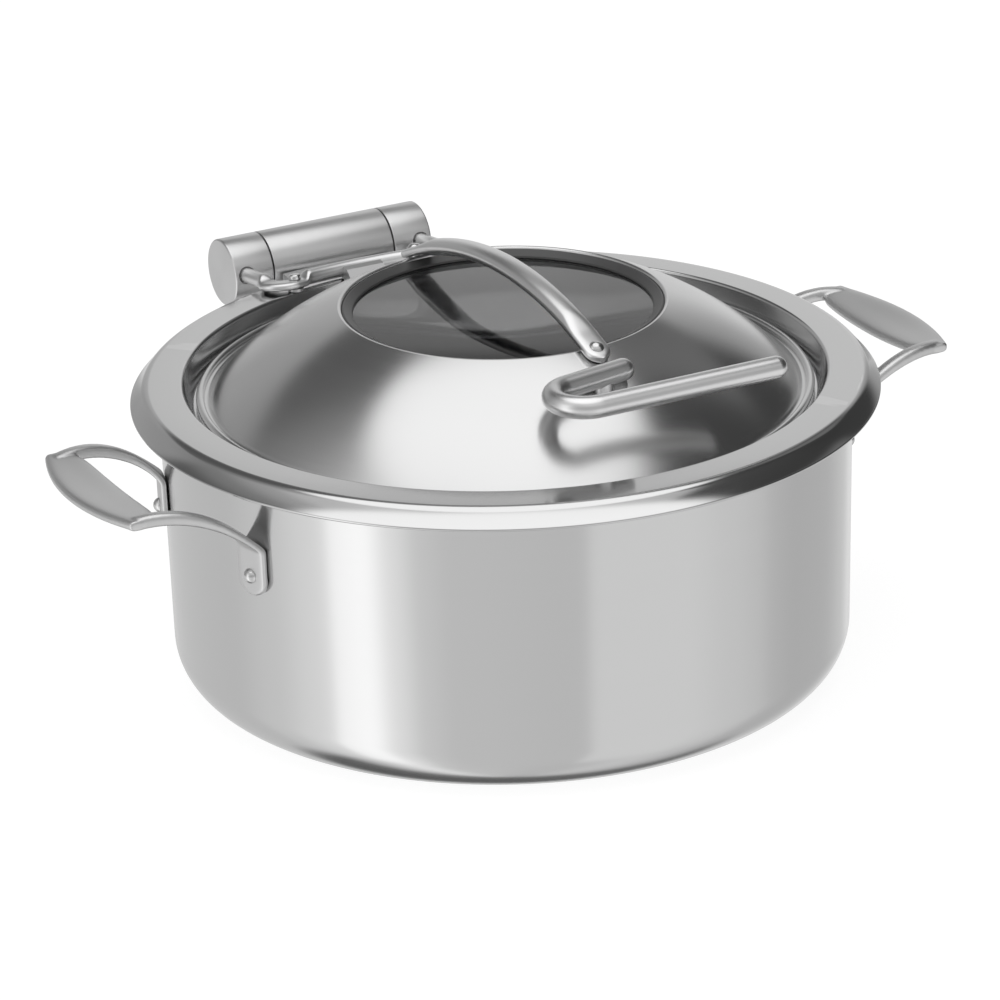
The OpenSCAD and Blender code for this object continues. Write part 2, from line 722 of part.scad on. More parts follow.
// The lug takes in the rivet's place and most of the bend; its underside is level with
// the rod's underside.
lug_mid = [yoke_leg_x - 8.4, yoke_bar_r * cos(lug_rivet_angle) + 2 - hinge_d];
function lug_share(q) = let (d = norm([abs(q[0]), q[1]] - lug_mid))
    1 - ease((d - 9.2) / 4.4);
module hinge_yoke() {
    rings = [
        for (q = yoke_stations)
            let (
                k = lug_share(q),
                a = mix(yoke_rod_r, lug_w / 2, k),
                b = mix(yoke_rod_r, lug_t / 2, k)
            )
            ring([q[0], q[1], -lug_sink * k], [-sin(q[2]), cos(q[2]), 0], [0, 0, 1], a, b,
                mix(2, 2.8, k), 18)
    ];
    color(satin) difference() {
        yoke_frame() skin(rings);
        for (side = [-1, 1]) at_lug(side)
            cylinder(h = 40, r = lug_rivet_r + 2 * pin_fit, center = true, $fn = 32);
    }
}

// Frame of a lug's rivet: z across the lug, zero at the lug's middle.
module at_lug(side) {
    yoke_frame() translate([0, -hinge_d, -lug_sink])
        rotate([0, 0, -side * lug_rivet_angle]) translate([0, yoke_bar_r, 0]) children();
}

// What joins the yoke to the lid: a saddle behind the bar's middle, shaped over the
// lid's bead and the collar's edge, and a thin pad under each lug.
saddle_w = 23;
module yoke_posts() {
    color(satin) {
        difference() {
            translate([-saddle_w / 2, 0, 0]) rotate([90, 0, 90]) linear_extrude(saddle_w)
                polygon([
                    [dome_edge_r - 4, bead_z], [bead_ring_r + 4, bead_z],
                    [mouth_r - 2.9, bead_z + 4.2], [mouth_r - 1.6, top_z + 0.6],
                    [mouth_r + 1, top_z + 0.7], [mouth_r + 1, top_z + 4],
                    [mouth_r - 1.6, top_z + 8], [mouth_r - 6, top_z + 7.4],
                    [dome_edge_r - 1, bead_z + 9], [dome_edge_r - 4, bead_z + 5]
                ]);
            lid_envelope(seat / 2);
            translate([0, 0, bead_z - 20]) cylinder(h = 20, r = collar_r, $fn = 96);
            yoke_frame() translate([0, -hinge_d, 0]) rotate_extrude($fn = 360)
                translate([yoke_bar_r, 0]) circle(yoke_rod_r + seat, $fn = 48);
        }
        // pads, level underneath with the collar's top
        difference() {
            for (side = [-1, 1]) at_lug(side) translate([0, 0, -lug_t / 2 - seat - 3])
                cylinder(h = 3, r = 4.4, $fn = 48);
            cylinder(h = top_z + lid_rest, r = collar_r, $fn = 96);
            for (side = [-1, 1]) at_lug(side)
                cylinder(h = 40, r = lug_rivet_r + pin_fit, center = true, $fn = 48);
        }
    }
}

module yoke_rivets() {
    color(steel) for (side = [-1, 1]) at_lug(side) {
        translate([0, 0, lug_t / 2 + seat]) button(3.4, 3);
        translate([0, 0, -lug_t / 2 - seat - 0.3])
            cylinder(h = lug_t + 2 * seat + 0.9, r = lug_rivet_r, $fn = 48);
    }
}

// ---- lid ----
module lid_profile() {
    t = dome_t;
    roll = 1.8;
    ax = window_r + roll;
    union() {
        // arched shell
        intersection() {
            translate([dome_cx, dome_cz]) difference() {
                circle(dome_r, $fn = 180);
                circle(dome_r - t, $fn = 180);
            }
            translate([ax, bead_z - 4]) square([dome_edge_r - ax, 80]);
        }
        // rolled bead and the narrow web between shell and bead
        translate([bead_ring_r, bead_z]) circle(bead_r, $fn = 48);
        polygon([
            [dome_edge_r - 1, dome_z(dome_edge_r) - t - 0.2],
            [bead_ring_r - 1, dome_z(dome_edge_r) - t - 0.2],
            [bead_ring_r - 1, dome_z(dome_edge_r) + 0.2],
            [dome_edge_r - 1, dome_z(dome_edge_r) + 0.2]
        ]);
        // rolled edge of the window opening and its upright lip
        translate([ax, window_top - roll]) sector(roll - t, roll, 75, 180);
        translate([window_r, lip_bottom]) square([t, window_top - roll - lip_bottom]);
    }
}

module at_arch(s) {
    // Frame on the arch at distance s from the axis: z away from the lid.
    rotate([0, 0, arch_turn]) translate([0, 0, arch_cz])
        rotate([-asin(s / arch_r), 0, 0]) translate([0, 0, arch_r]) children();
}

module lid_dome() {
    color(steel) difference() {
        revolve() lid_profile();
        for (s = [-arch_rivet_at, arch_rivet_at]) at_arch(s)
            cylinder(h = 30, r = 2.4 + pin_fit, center = true, $fn = 48);
        translate([grip_at[0], grip_at[1], dome_z(norm(grip_at)) - 6])
            cylinder(h = 12, r = 2.5 + pin_fit, $fn = 48);
    }
}

glass_r = window_r - 3.2;
module window_gasket() {
    r1 = window_r - seat;
    r0 = window_r - gasket_w;
    color("black") revolve() difference() {
        polygon([
            [r0, lip_bottom + 0.2], [r1, lip_bottom + 0.2], [r1, window_top - 1.4],
            [r1 - 0.9, window_top - 0.8], [r0 + 0.5, glass_top + 1.3],
            [r0, glass_top + seat / 2]
        ]);
        translate([r0 - 1, glass_top - glass_t - seat / 2])
            square([glass_r + seat / 2 - r0 + 1, glass_t + seat]);
    }
}

module window_glass() {
    ch = 0.4;
    color([0.55, 0.58, 0.6, 0.6]) revolve() polygon([
        [0, glass_top - glass_t], [glass_r - ch, glass_top - glass_t],
        [glass_r, glass_top - glass_t + ch], [glass_r, glass_top - ch],
        [glass_r - ch, glass_top], [0, glass_top]
    ]);
}

// Pressed ring that holds the gasket from below and grips the lip.
module window_clamp() {
    r_lip = window_r + dome_t + seat;
    color(satin) revolve() polygon([
        [window_r - gasket_w + 1, lip_bottom - 1.4], [r_lip + 1.2, lip_bottom - 1.4],
        [r_lip + 1.2, lip_bottom + 5], [r_lip, lip_bottom + 5],
        [r_lip, lip_bottom - seat], [window_r - gasket_w + 1, lip_bottom - seat]
    ]);
}

// ---- lid handle ----
function arch_ring(s, n) = let (
    a = asin(s / arch_r),
    k = ease((abs(s) - 66) / 17),
    tip = max(0, (abs(s) - (arch_half - 7)) / 7),
    round_end = sqrt(max(0.03, 1 - tip * tip)),
    w = mix(arch_w, arch_w + 1, k) / 2 * round_end,
    h = mix(arch_t, tongue_t, k) / 2 * (tip > 0.85 ? 0.8 : 1),
    c = [0, s, arch_cz + sqrt(arch_r * arch_r - s * s)]
) ring(c, [1, 0, 0], [0, sin(a), cos(a)], w, h, mix(2.2, 3.4, k), n);

module arch_handle() {
    ends = [for (e = [7, 6.6, 5.8, 4.6, 3.2, 1.6, 0]) arch_half - 7 + e];
    inner = [for (i = [12:-1:0]) (arch_half - 7) * i / 13];
    half = concat(ends, inner);
    stations = concat([for (s = half) -s], [for (i = [len(half) - 2:-1:0]) half[i]]);
    color(satin) difference() {
        rotate([0, 0, arch_turn]) skin([for (s = stations) arch_ring(s, 24)]);
        for (s = [-arch_rivet_at, arch_rivet_at]) at_arch(s)
            cylinder(h = 20, r = 2.4 + 2 * pin_fit, center = true, $fn = 32);
    }
}

// Depth of a rivet's closing head below the arch's middle line.
arch_tail = tongue_t / 2 + tongue_gap + dome_t + 0.3 + 1.6;
module arch_rivets() {
    color(steel) for (s = [-arch_rivet_at, arch_rivet_at]) at_arch(s) {
        translate([0, 0, tongue_t / 2 + seat]) button(3.9, 2.1);
        translate([0, 0, -arch_tail]) cylinder(h = arch_tail + tongue_t / 2 + seat + 0.2, r = 2.4, $fn = 48);
        translate([0, 0, -arch_tail]) cylinder(h = 1.6, r = 3.3, $fn = 48);
    }
}

// One rod swept along the short leg, the hairpin and the long leg.
rod_end = [for (e = [0.03, 0.12, 0.3, 0.55, 0.8]) e];
rod_turn = 180 - short_leg_angle;
rod_stations = concat(
    [for (e = rod_end) concat(short_leg(1) + polar(rod_r * (1 - e), short_leg_angle),
        [short_leg_angle, sqrt(1 - pow(1 - e, 2))])],
    [for (i = [0:3]) concat(short_leg(1 - i / 4), [short_leg_angle, 1])],
    [for (i = [0:14]) let (a = 90 + short_leg_angle + rod_turn * i / 14)
        concat([-hairpin_x, -rod_short_y] + polar(hairpin_r, a), [a - 90, 1])],
    [for (i = [1:4]) [mix(-hairpin_x, long_leg_x, i / 4), -long_leg_y, 180, 1]],
    [for (i = [4:-1:0]) [long_leg_x + rod_r * (1 - rod_end[i]), -long_leg_y, 180,
        sqrt(1 - pow(1 - rod_end[i], 2))]]
);
module grip_rod() {
    color(satin) skin([
        for (q = rod_stations)
            ring([q[0], q[1], rod_z], [-sin(q[2]), cos(q[2]), 0], [0, 0, 1],
                rod_r * q[3], rod_r * q[3], 2, 20)
    ]);
}

module grip_post() {
    a = short_leg(0);
    color(satin) difference() {
        translate([grip_at[0], grip_at[1], rod_z - 20]) cylinder(h = 20, r = 5, $fn = 96);
        lid_envelope(seat / 2);
        translate([a[0], a[1], rod_z]) rotate([0, 0, short_leg_angle]) rotate([0, 90, 0])
            cylinder(h = short_leg_l, r = rod_r + seat / 2, $fn = 180);
        translate([grip_at[0], grip_at[1], rod_z - 30])
            cylinder(h = 40, r = 2.5 + pin_fit, $fn = 48);
    }
}

module grip_screw() {
    z = dome_z(norm(grip_at) + 4.2) - dome_t * 1.25 - 3 * seat;
    color(dark) translate([grip_at[0], grip_at[1], 0]) {
        translate([0, 0, z - 3]) cylinder(h = 3, r = 4.2, $fn = 48);
        translate([0, 0, z - 0.2]) cylinder(h = rod_z - rod_r - 0.4 - z, r = 2.5, $fn = 48);
    }
}

pot_body();
base_disc();
left_handle();
right_handle();
left_handle_rivets();
right_handle_rivets();
collar_ring();
soup_insert();
hinge_bracket();
bracket_screws();
hinge_barrel();
barrel_bushings();
damper_sleeve();
lid_dome();
window_gasket();
window_glass();
window_clamp();
arch_handle();
arch_rivets();
grip_rod();
grip_post();
grip_screw();
hinge_shaft();
left_hinge_cap();
right_hinge_cap();
thrust_washers();
cap_screws();
hinge_yoke();
yoke_posts();
yoke_rivets();
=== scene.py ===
"""Looks of a buffet soup kettle: a clad pot, a lift-off collar and a glazed lid on a rear hinge."""

import logging
import math
from dataclasses import dataclass, field
from enum import Enum
from typing import Iterable, Sequence

import bmesh
import bpy
from mathutils import Matrix, Vector


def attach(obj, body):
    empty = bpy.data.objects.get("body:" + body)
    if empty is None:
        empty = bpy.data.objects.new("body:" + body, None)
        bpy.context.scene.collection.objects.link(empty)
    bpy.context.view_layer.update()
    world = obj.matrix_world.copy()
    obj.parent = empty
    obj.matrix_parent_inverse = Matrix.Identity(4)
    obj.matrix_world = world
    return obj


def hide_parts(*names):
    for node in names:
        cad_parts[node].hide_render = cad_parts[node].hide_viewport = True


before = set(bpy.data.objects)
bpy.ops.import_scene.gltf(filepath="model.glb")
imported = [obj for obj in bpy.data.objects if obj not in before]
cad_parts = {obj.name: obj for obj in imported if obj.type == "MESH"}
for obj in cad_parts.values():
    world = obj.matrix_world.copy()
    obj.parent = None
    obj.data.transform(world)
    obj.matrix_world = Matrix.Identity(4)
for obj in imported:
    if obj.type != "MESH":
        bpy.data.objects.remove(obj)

LOG = logging.getLogger("kettle")
MM = 0.001
RIVET_STEPS = 40
BARREL_STEPS = 128
Point = tuple[float, float]
Colour = tuple[float, float, float]
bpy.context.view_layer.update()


# ---------------------------------------------------------------- geometry


class Body(Enum):
    """The rigid bodies that a piece can ride on."""

    POT = "pot"
    COLLAR = "collar"
    LID = "lid"


class Turned(Enum):
    """The axis that a piece was turned or brushed round."""

    UPRIGHT = "Z"
    CROSSWISE = "X"


def mix(a: float, b: float, t: float) -> float:
    """Straight blend from a to b."""
    return a + (b - a) * t


def ease(t: float) -> float:
    """Smooth step from 0 to 1."""
    u = min(1.0, max(0.0, t))
    return u * u * (3.0 - 2.0 * u)


def arc(cx: float, cy: float, r: float, start: float, end: float, steps: int) -> list[Point]:
    """Points on an arc.

    Args:
        cx: Centre, first coordinate.
        cy: Centre, second coordinate.
        r: Radius.
        start: First angle in degrees.
        end: Last angle in degrees.
        steps: Number of chords.

    Returns:
        The points, both ends included.
    """
    angles = [math.radians(mix(start, end, i / steps)) for i in range(steps + 1)]
    return [(cx + r * math.cos(a), cy + r * math.sin(a)) for a in angles]


def rounded(corners: Sequence[tuple[float, float, float]], steps: int = 8) -> list[Point]:
    """A polyline whose inner corners are filleted.

    Args:
        corners: Each corner with its fillet radius; 0 keeps it sharp.
        steps: Chords in each fillet.

    Returns:
        The points of the filleted line.
    """
    out: list[Point] = []
    for i, (x, y, r) in enumerate(corners):
        here = Vector((x, y))
        if r <= 0 or i in (0, len(corners) - 1):
            out.append((x, y))
            continue
        to_last = (Vector(corners[i - 1][:2]) - here).normalized()
        to_next = (Vector(corners[i + 1][:2]) - here).normalized()
        half = math.acos(max(-1.0, min(1.0, to_last.dot(to_next)))) / 2
        centre = here + (to_last + to_next).normalized() * (r / math.sin(half))
        first = here + to_last * (r / math.tan(half))
        last = here + to_next * (r / math.tan(half))
        a0 = math.atan2(first.y - centre.y, first.x - centre.x)
        a1 = math.atan2(last.y - centre.y, last.x - centre.x)
        turn = (a1 - a0 + math.pi) % (2 * math.pi) - math.pi
        out += arc(centre.x, centre.y, r, math.degrees(a0), math.degrees(a0 + turn), steps)
    return out


def crown(r: float, h: float, base: float) -> list[Point]:
    """Profile of a domed rivet head.

    Args:
        r: Radius of the head.
        h: Height of the head.
        base: Height of its seat.

    Returns:
        The points from the rim to the top of the dome.
    """
    ball = (r * r + h * h) / (2 * h)
    angles = [math.asin(r / ball) * (1 - i / 8) for i in range(9)]
    dome = [(ball * math.sin(a), base + h - ball + ball * math.cos(a)) for a in angles]
    dome[-1] = (0.0, base + h)
    return dome


def section(
    centre: Vector, across: Vector, up: Vector, a: float, b: float, power: float, count: int,
    dish: float = 0.0,
) -> list[Vector]:
    """One closed ring of a rounded section.

    Args:
        centre: Middle of the section.
        across: Unit vector along its width.
        up: Unit vector along its thickness.
        a: Half the width.
        b: Half the thickness.
        power: 2 is an ellipse, more is squarer.
        count: Points in the ring.
        dish: How far the upper side sinks towards the middle.

    Returns:
        The ring's points.
    """
    ring = []
    for i in range(count):
        t = 2 * math.pi * i / count
        x = math.copysign(abs(math.cos(t)) ** (2 / power), math.cos(t))
        y = math.copysign(abs(math.sin(t)) ** (2 / power), math.sin(t))
        sink = 1 - dish * (1 - x * x) if y > 0 else 1.0
        ring.append(centre + across * (a * x) + up * (b * y * sink))
    return ring


class Maker:
    """Builds meshes in millimetres and hands them over as objects in metres."""

    @staticmethod
    def from_bmesh(name: str, bm: bmesh.types.BMesh, sharp: float = 32.0) -> bpy.types.Object:
        """Turns a bmesh in millimetres into a smooth-shaded object.

        Args:
            name: Name of the object.
            bm: The mesh, which is freed.
            sharp: Edges that bend more than this many degrees stay crisp.

        Returns:
            The new object, linked to the scene.
        """
        bmesh.ops.scale(bm, vec=(MM, MM, MM), verts=bm.verts)
        bmesh.ops.recalc_face_normals(bm, faces=bm.faces)
        mesh = bpy.data.meshes.new(name)
        bm.to_mesh(mesh)
        bm.free()
        mesh.polygons.foreach_set("use_smooth", [True] * len(mesh.polygons))
        mesh.set_sharp_from_angle(angle=math.radians(sharp))
        obj = bpy.data.objects.new(name, mesh)
        bpy.context.scene.collection.objects.link(obj)
        return obj

    @staticmethod
    def revolve_into(
        bm: bmesh.types.BMesh, profile: Sequence[Point], place: Matrix, steps: int,
        closed: bool = True,
    ) -> None:
        """Adds a revolved profile to a bmesh.

        Args:
            bm: Where the faces go.
            profile: Radius and height of each point, in order.
            place: Transform of the finished form.
            steps: Facets round the axis.
            closed: Whether the last point joins the first.
        """
        columns: list[list[bmesh.types.BMVert]] = []
        for r, z in profile:
            if r < 1e-6:
                columns.append([bm.verts.new(place @ Vector((0, 0, z)))])
                continue
            columns.append([
                bm.verts.new(place @ Vector((
                    r * math.cos(2 * math.pi * i / steps), r * math.sin(2 * math.pi * i / steps), z,
                )))
                for i in range(steps)
            ])
        pairs = list(zip(columns, columns[1:]))
        if closed:
            pairs.append((columns[-1], columns[0]))
        for low, high in pairs:
            if len(low) == 1 and len(high) == 1:
                continue
            for i in range(steps):
                j = (i + 1) % steps
                loop = [
                    low[i % len(low)], low[j % len(low)], high[j % len(high)], high[i % len(high)],
                ]
                unique = list(dict.fromkeys(loop))
                if len(unique) > 2:
                    bm.faces.new(unique)

    @classmethod
    def revolve(
        cls, name: str, profile: Sequence[Point], steps: int = 240, closed: bool = True,
        place: Matrix | None = None, sharp: float = 32.0,
    ) -> bpy.types.Object:
        """One object from one revolved profile.

        Args:
            name: Name of the object.
            profile: Radius and height of each point, in order.
            steps: Facets round the axis.
            closed: Whether the last point joins the first.
            place: Transform of the finished form, in millimetres.
            sharp: Edges that bend more than this stay crisp.

        Returns:
            The new object.
        """
        bm = bmesh.new()
        cls.revolve_into(bm, profile, place or Matrix.Identity(4), steps, closed)
        return cls.from_bmesh(name, bm, sharp)

    @staticmethod
    def skin_into(bm: bmesh.types.BMesh, rings: Sequence[Sequence[Vector]]) -> None:
        """Adds a closed skin through a list of rings to a bmesh.

        Args:
            bm: Where the faces go.
            rings: Rings of equal length, in order.
        """
        count = len(rings[0])
        rows = [[bm.verts.new(p) for p in ring] for ring in rings]
        for low, high in zip(rows, rows[1:]):
            for i in range(count):
                j = (i + 1) % count
                bm.faces.new((low[i], low[j], high[j], high[i]))
        bm.faces.new(list(reversed(rows[0])))
        bm.faces.new(rows[-1])

    @staticmethod
    def applied(obj: bpy.types.Object) -> bpy.types.Object:
        """Applies an object's modifiers to its mesh.

        Args:
            obj: The object.

        Returns:
            The same object with its new mesh.
        """
        graph = bpy.context.evaluated_depsgraph_get()
        mesh = bpy.data.meshes.new_from_object(obj.evaluated_get(graph))
        obj.modifiers.clear()
        old, obj.data = obj.data, mesh
        bpy.data.meshes.remove(old)
        return obj

    @classmethod
    def fused(cls, obj: bpy.types.Object, voxel: float, passes: int) -> bpy.types.Object:
        """Melts overlapping skins of one object into a single cast surface.

        Args:
            obj: The object to remesh, in metres.
            voxel: Cell size in millimetres.
            passes: Smoothing passes that blend the joins.

        Returns:
            The same object with its new mesh.
        """
        melt = obj.modifiers.new("melt", "REMESH")
        melt.mode = "VOXEL"
        melt.voxel_size = voxel * MM
        melt.use_smooth_shade = True
        blend = obj.modifiers.new("blend", "SMOOTH")
        blend.factor = 0.5
        blend.iterations = passes
        cls.applied(obj)
        obj.data.polygons.foreach_set("use_smooth", [True] * len(obj.data.polygons))
        return obj


# ---------------------------------------------------------------- shader effects


class Effects:
    """Shader node groups that several finishes share, each built once."""

    _made: dict[str, bpy.types.NodeTree] = {}

    @staticmethod
    def _open(
        name: str, inputs: Iterable[tuple[str, str, float]], outputs: Iterable[str],
    ) -> tuple[bpy.types.NodeTree, bpy.types.Node, bpy.types.Node]:
        """Starts a node group with named sockets.

        Args:
            name: Name of the group.
            inputs: Name, socket type and default of each input.
            outputs: Names of the value outputs.

        Returns:
            The group, its input node and its output node.
        """
        tree = bpy.data.node_groups.new(name, "ShaderNodeTree")
        for label, kind, value in inputs:
            socket = tree.interface.new_socket(label, in_out="INPUT", socket_type=kind)
            if kind == "NodeSocketFloat":
                socket.default_value = value
        for label in outputs:
            tree.interface.new_socket(label, in_out="OUTPUT", socket_type="NodeSocketFloat")
        return tree, tree.nodes.new("NodeGroupInput"), tree.nodes.new("NodeGroupOutput")

    @staticmethod
    def maths(
        tree: bpy.types.NodeTree, how: str, a: object, b: object = 0.0,
    ) -> bpy.types.NodeSocket:
        """Adds one Math node.

        Args:
            tree: The tree that gets the node.
            how: Blender's name of the operation.
            a: First value or socket.
            b: Second value or socket.

        Returns:
            The node's output socket.
        """
        node = tree.nodes.new("ShaderNodeMath")
        node.operation = how
        for i, value in enumerate((a, b)):
            if isinstance(value, bpy.types.NodeSocket):
                tree.links.new(value, node.inputs[i])
            else:
                node.inputs[i].default_value = float(value)
        return node.outputs[0]

    @classmethod
    def turned_grain(cls) -> bpy.types.NodeTree:
        """Fine brushing that runs round the local Z axis.

        Returns:
            The group, with outputs Grain for fine lines and Band for broad ones.
        """
        if "turned grain" in cls._made:
            return cls._made["turned grain"]
        tree, enter, leave = cls._open(
            "turned grain",
            (("Vector", "NodeSocketVector", 0.0), ("Fineness", "NodeSocketFloat", 1400.0),
             ("Drift", "NodeSocketFloat", 2.5)),
            ("Grain", "Band"),
        )
        split = tree.nodes.new("ShaderNodeSeparateXYZ")
        tree.links.new(enter.outputs["Vector"], split.inputs[0])
        x, y, z = split.outputs
        radius = cls.maths(
            tree, "SQRT",
            cls.maths(
                tree, "ADD", cls.maths(tree, "MULTIPLY", x, x), cls.maths(tree, "MULTIPLY", y, y)),
        )
        safe = cls.maths(tree, "MAXIMUM", radius, 1e-5)
        across = cls.maths(tree, "ADD", radius, cls.maths(tree, "MULTIPLY", z, 1.37))
        for label, share, detail in (("Grain", 1.0, 3.0), ("Band", 0.09, 2.0)):
            join = tree.nodes.new("ShaderNodeCombineXYZ")
            for i, part in enumerate((x, y)):
                unit = cls.maths(tree, "DIVIDE", part, safe)
                tree.links.new(
                    cls.maths(tree, "MULTIPLY", unit, enter.outputs["Drift"]), join.inputs[i])
            fine = cls.maths(tree, "MULTIPLY", enter.outputs["Fineness"], share)
            tree.links.new(cls.maths(tree, "MULTIPLY", across, fine), join.inputs[2])
            noise = tree.nodes.new("ShaderNodeTexNoise")
            noise.inputs["Scale"].default_value = 1.0
            noise.inputs["Detail"].default_value = detail
            tree.links.new(join.outputs[0], noise.inputs["Vector"])
            tree.links.new(noise.outputs["Fac"], leave.inputs[label])
        cls._made["turned grain"] = tree
        return tree

    @classmethod
    def handling(cls) -> bpy.types.NodeTree:
        """Soft clouds left by wiping and use, with sparse short scratches.

        Returns:
            The group, with outputs Cloud and Scratch.
        """
        if "handling" in cls._made:
            return cls._made["handling"]
        tree, enter, leave = cls._open(
            "handling",
            (("Vector", "NodeSocketVector", 0.0), ("Cloud Size", "NodeSocketFloat", 9.0),
             ("Scratch Size", "NodeSocketFloat", 60.0)),
            ("Cloud", "Scratch"),
        )
        cloud = tree.nodes.new("ShaderNodeTexNoise")
        cloud.inputs["Detail"].default_value = 4.0
        cloud.inputs["Roughness"].default_value = 0.55
        tree.links.new(enter.outputs["Vector"], cloud.inputs["Vector"])
        tree.links.new(enter.outputs["Cloud Size"], cloud.inputs["Scale"])
        tree.links.new(cloud.outputs["Fac"], leave.inputs["Cloud"])
        stretch = tree.nodes.new("ShaderNodeMapping")
        stretch.inputs["Rotation"].default_value = (0.4, 0.3, 0.9)
        stretch.inputs["Scale"].default_value = (1.0, 9.0, 3.0)
        tree.links.new(enter.outputs["Vector"], stretch.inputs["Vector"])
        scratch = tree.nodes.new("ShaderNodeTexNoise")
        scratch.inputs["Detail"].default_value = 2.0
        tree.links.new(stretch.outputs[0], scratch.inputs["Vector"])
        tree.links.new(enter.outputs["Scratch Size"], scratch.inputs["Scale"])
        ramp = tree.nodes.new("ShaderNodeMapRange")
        ramp.inputs["From Min"].default_value = 0.66
        ramp.inputs["From Max"].default_value = 0.74
        tree.links.new(scratch.outputs["Fac"], ramp.inputs["Value"])
        tree.links.new(ramp.outputs[0], leave.inputs["Scratch"])
        cls._made["handling"] = tree
        return tree

    @classmethod
    def edge_wear(cls) -> bpy.types.NodeTree:
        """Mask of rounded-over edges, broken up by a fine noise.

        Returns:
            The group, with output Mask.
        """
        if "edge wear" in cls._made:
            return cls._made["edge wear"]
        tree, enter, leave = cls._open(
            "edge wear",
            (("Vector", "NodeSocketVector", 0.0), ("Start", "NodeSocketFloat", 0.51),
             ("Break Up", "NodeSocketFloat", 0.35)),
            ("Mask",),
        )
        shape = tree.nodes.new("ShaderNodeNewGeometry")
        ramp = tree.nodes.new("ShaderNodeMapRange")
        tree.links.new(shape.outputs["Pointiness"], ramp.inputs["Value"])
        tree.links.new(enter.outputs["Start"], ramp.inputs["From Min"])
        tree.links.new(
            cls.maths(tree, "ADD", enter.outputs["Start"], 0.05), ramp.inputs["From Max"])
        noise = tree.nodes.new("ShaderNodeTexNoise")
        noise.inputs["Scale"].default_value = 240.0
        tree.links.new(enter.outputs["Vector"], noise.inputs["Vector"])
        gap = cls.maths(tree, "MULTIPLY", noise.outputs["Fac"], enter.outputs["Break Up"])
        tree.links.new(cls.maths(tree, "SUBTRACT", ramp.outputs[0], gap), leave.inputs["Mask"])
        cls._made["edge wear"] = tree
        return tree


class Board:
    """A material's node tree with a Principled BSDF and short ways to wire it."""

    def __init__(self, name: str) -> None:
        """Opens a fresh material.

        Args:
            name: Name of the material.
        """
        self.material = bpy.data.materials.new(name)
        self.material.use_nodes = True
        self.tree = self.material.node_tree
        self.shader = self.tree.nodes["Principled BSDF"]
        self.place = self.tree.nodes.new("ShaderNodeTexCoord").outputs["Object"]

    def group(
        self, tree: bpy.types.NodeTree, vector: object = None, **values: float,
    ) -> bpy.types.Node:
        """Places a shared effect in the material.

        Args:
            tree: The effect's node group.
            vector: Socket that gives it its place; the object's own by default.
            **values: Input values, with underscores for spaces.

        Returns:
            The group node.
        """
        node = self.tree.nodes.new("ShaderNodeGroup")
        node.node_tree = tree
        self.tree.links.new(vector or self.place, node.inputs["Vector"])
        for key, value in values.items():
            node.inputs[key.replace("_", " ")].default_value = value
        return node

    def maths(self, how: str, a: object, b: object = 0.0) -> bpy.types.NodeSocket:
        """Adds one Math node to the material."""
        return Effects.maths(self.tree, how, a, b)

    def blend(
        self, mask: bpy.types.NodeSocket, a: Colour | bpy.types.NodeSocket, b: Colour,
    ) -> bpy.types.NodeSocket:
        """Mixes two colours by a mask.

        Args:
            mask: Socket of the mask.
            a: Colour or socket where the mask is 0.
            b: Colour where it is 1.

        Returns:
            The mixed colour's socket.
        """
        node = self.tree.nodes.new("ShaderNodeMix")
        node.data_type = "RGBA"
        self.tree.links.new(mask, node.inputs[0])
        for value, socket in ((a, node.inputs[6]), (b, node.inputs[7])):
            if isinstance(value, bpy.types.NodeSocket):
                self.tree.links.new(value, socket)
            else:
                socket.default_value = (*value, 1.0)
        return node.outputs[2]

    def tones(
        self, mask: bpy.types.NodeSocket, colour: Colour, spread: float,
    ) -> bpy.types.NodeSocket:
        """Two tones of one colour, blended by a mask.

        Args:
            mask: Socket of the mask.
            colour: The plain colour.
            spread: Share by which the tones are darker and lighter.

        Returns:
            The tone's socket.
        """
        return self.blend(mask, shade(colour, 1 - spread), shade(colour, 1 + spread))

    def worn(self, tone: bpy.types.NodeSocket, wear: bpy.types.Node, pale: Colour) -> None:
        """Feeds a tone to the base colour, paler on worn edges.

        Args:
            tone: Socket of the tone.
            wear: The edge wear group.
            pale: Colour of a worn edge.
        """
        self.feed(self.blend(wear.outputs["Mask"], tone, pale), "Base Color")

    def roughen(
        self, base: float, swings: Sequence[tuple[bpy.types.NodeSocket, float]],
        scratch: bpy.types.NodeSocket | None = None, depth: float = 0.0,
    ) -> None:
        """Feeds the roughness.

        Args:
            base: The plain roughness.
            swings: Noises that swing about 0.5, each with its weight.
            scratch: Socket of the scratches.
            depth: How much a scratch adds.
        """
        rough: object = base
        for noise, weight in swings:
            swing = self.maths("SUBTRACT", noise, 0.5)
            rough = self.maths("ADD", rough, self.maths("MULTIPLY", swing, weight))
        if scratch is not None:
            rough = self.maths("ADD", rough, self.maths("MULTIPLY", scratch, depth))
        self.feed(rough, "Roughness")

    def bump(self, height: bpy.types.NodeSocket, strength: float, depth: float) -> None:
        """Feeds a height into the shader's normal.

        Args:
            height: Socket of the height.
            strength: Strength of the bump.
            depth: Depth in millimetres.
        """
        node = self.tree.nodes.new("ShaderNodeBump")
        node.inputs["Strength"].default_value = strength
        node.inputs["Distance"].default_value = depth * MM
        self.tree.links.new(height, node.inputs["Height"])
        self.tree.links.new(node.outputs[0], self.shader.inputs["Normal"])

    def feed(self, socket: bpy.types.NodeSocket, name: str) -> None:
        """Links a socket to one of the shader's inputs."""
        self.tree.links.new(socket, self.shader.inputs[name])

    def set(self, name: str, value: object) -> None:
        """Sets one of the shader's own values."""
        self.shader.inputs[name].default_value = value


# ---------------------------------------------------------------- finishes


def shade(colour: Colour, share: float) -> Colour:
    """A colour made lighter or darker by a share."""
    return tuple(min(1.0, c * share) for c in colour)


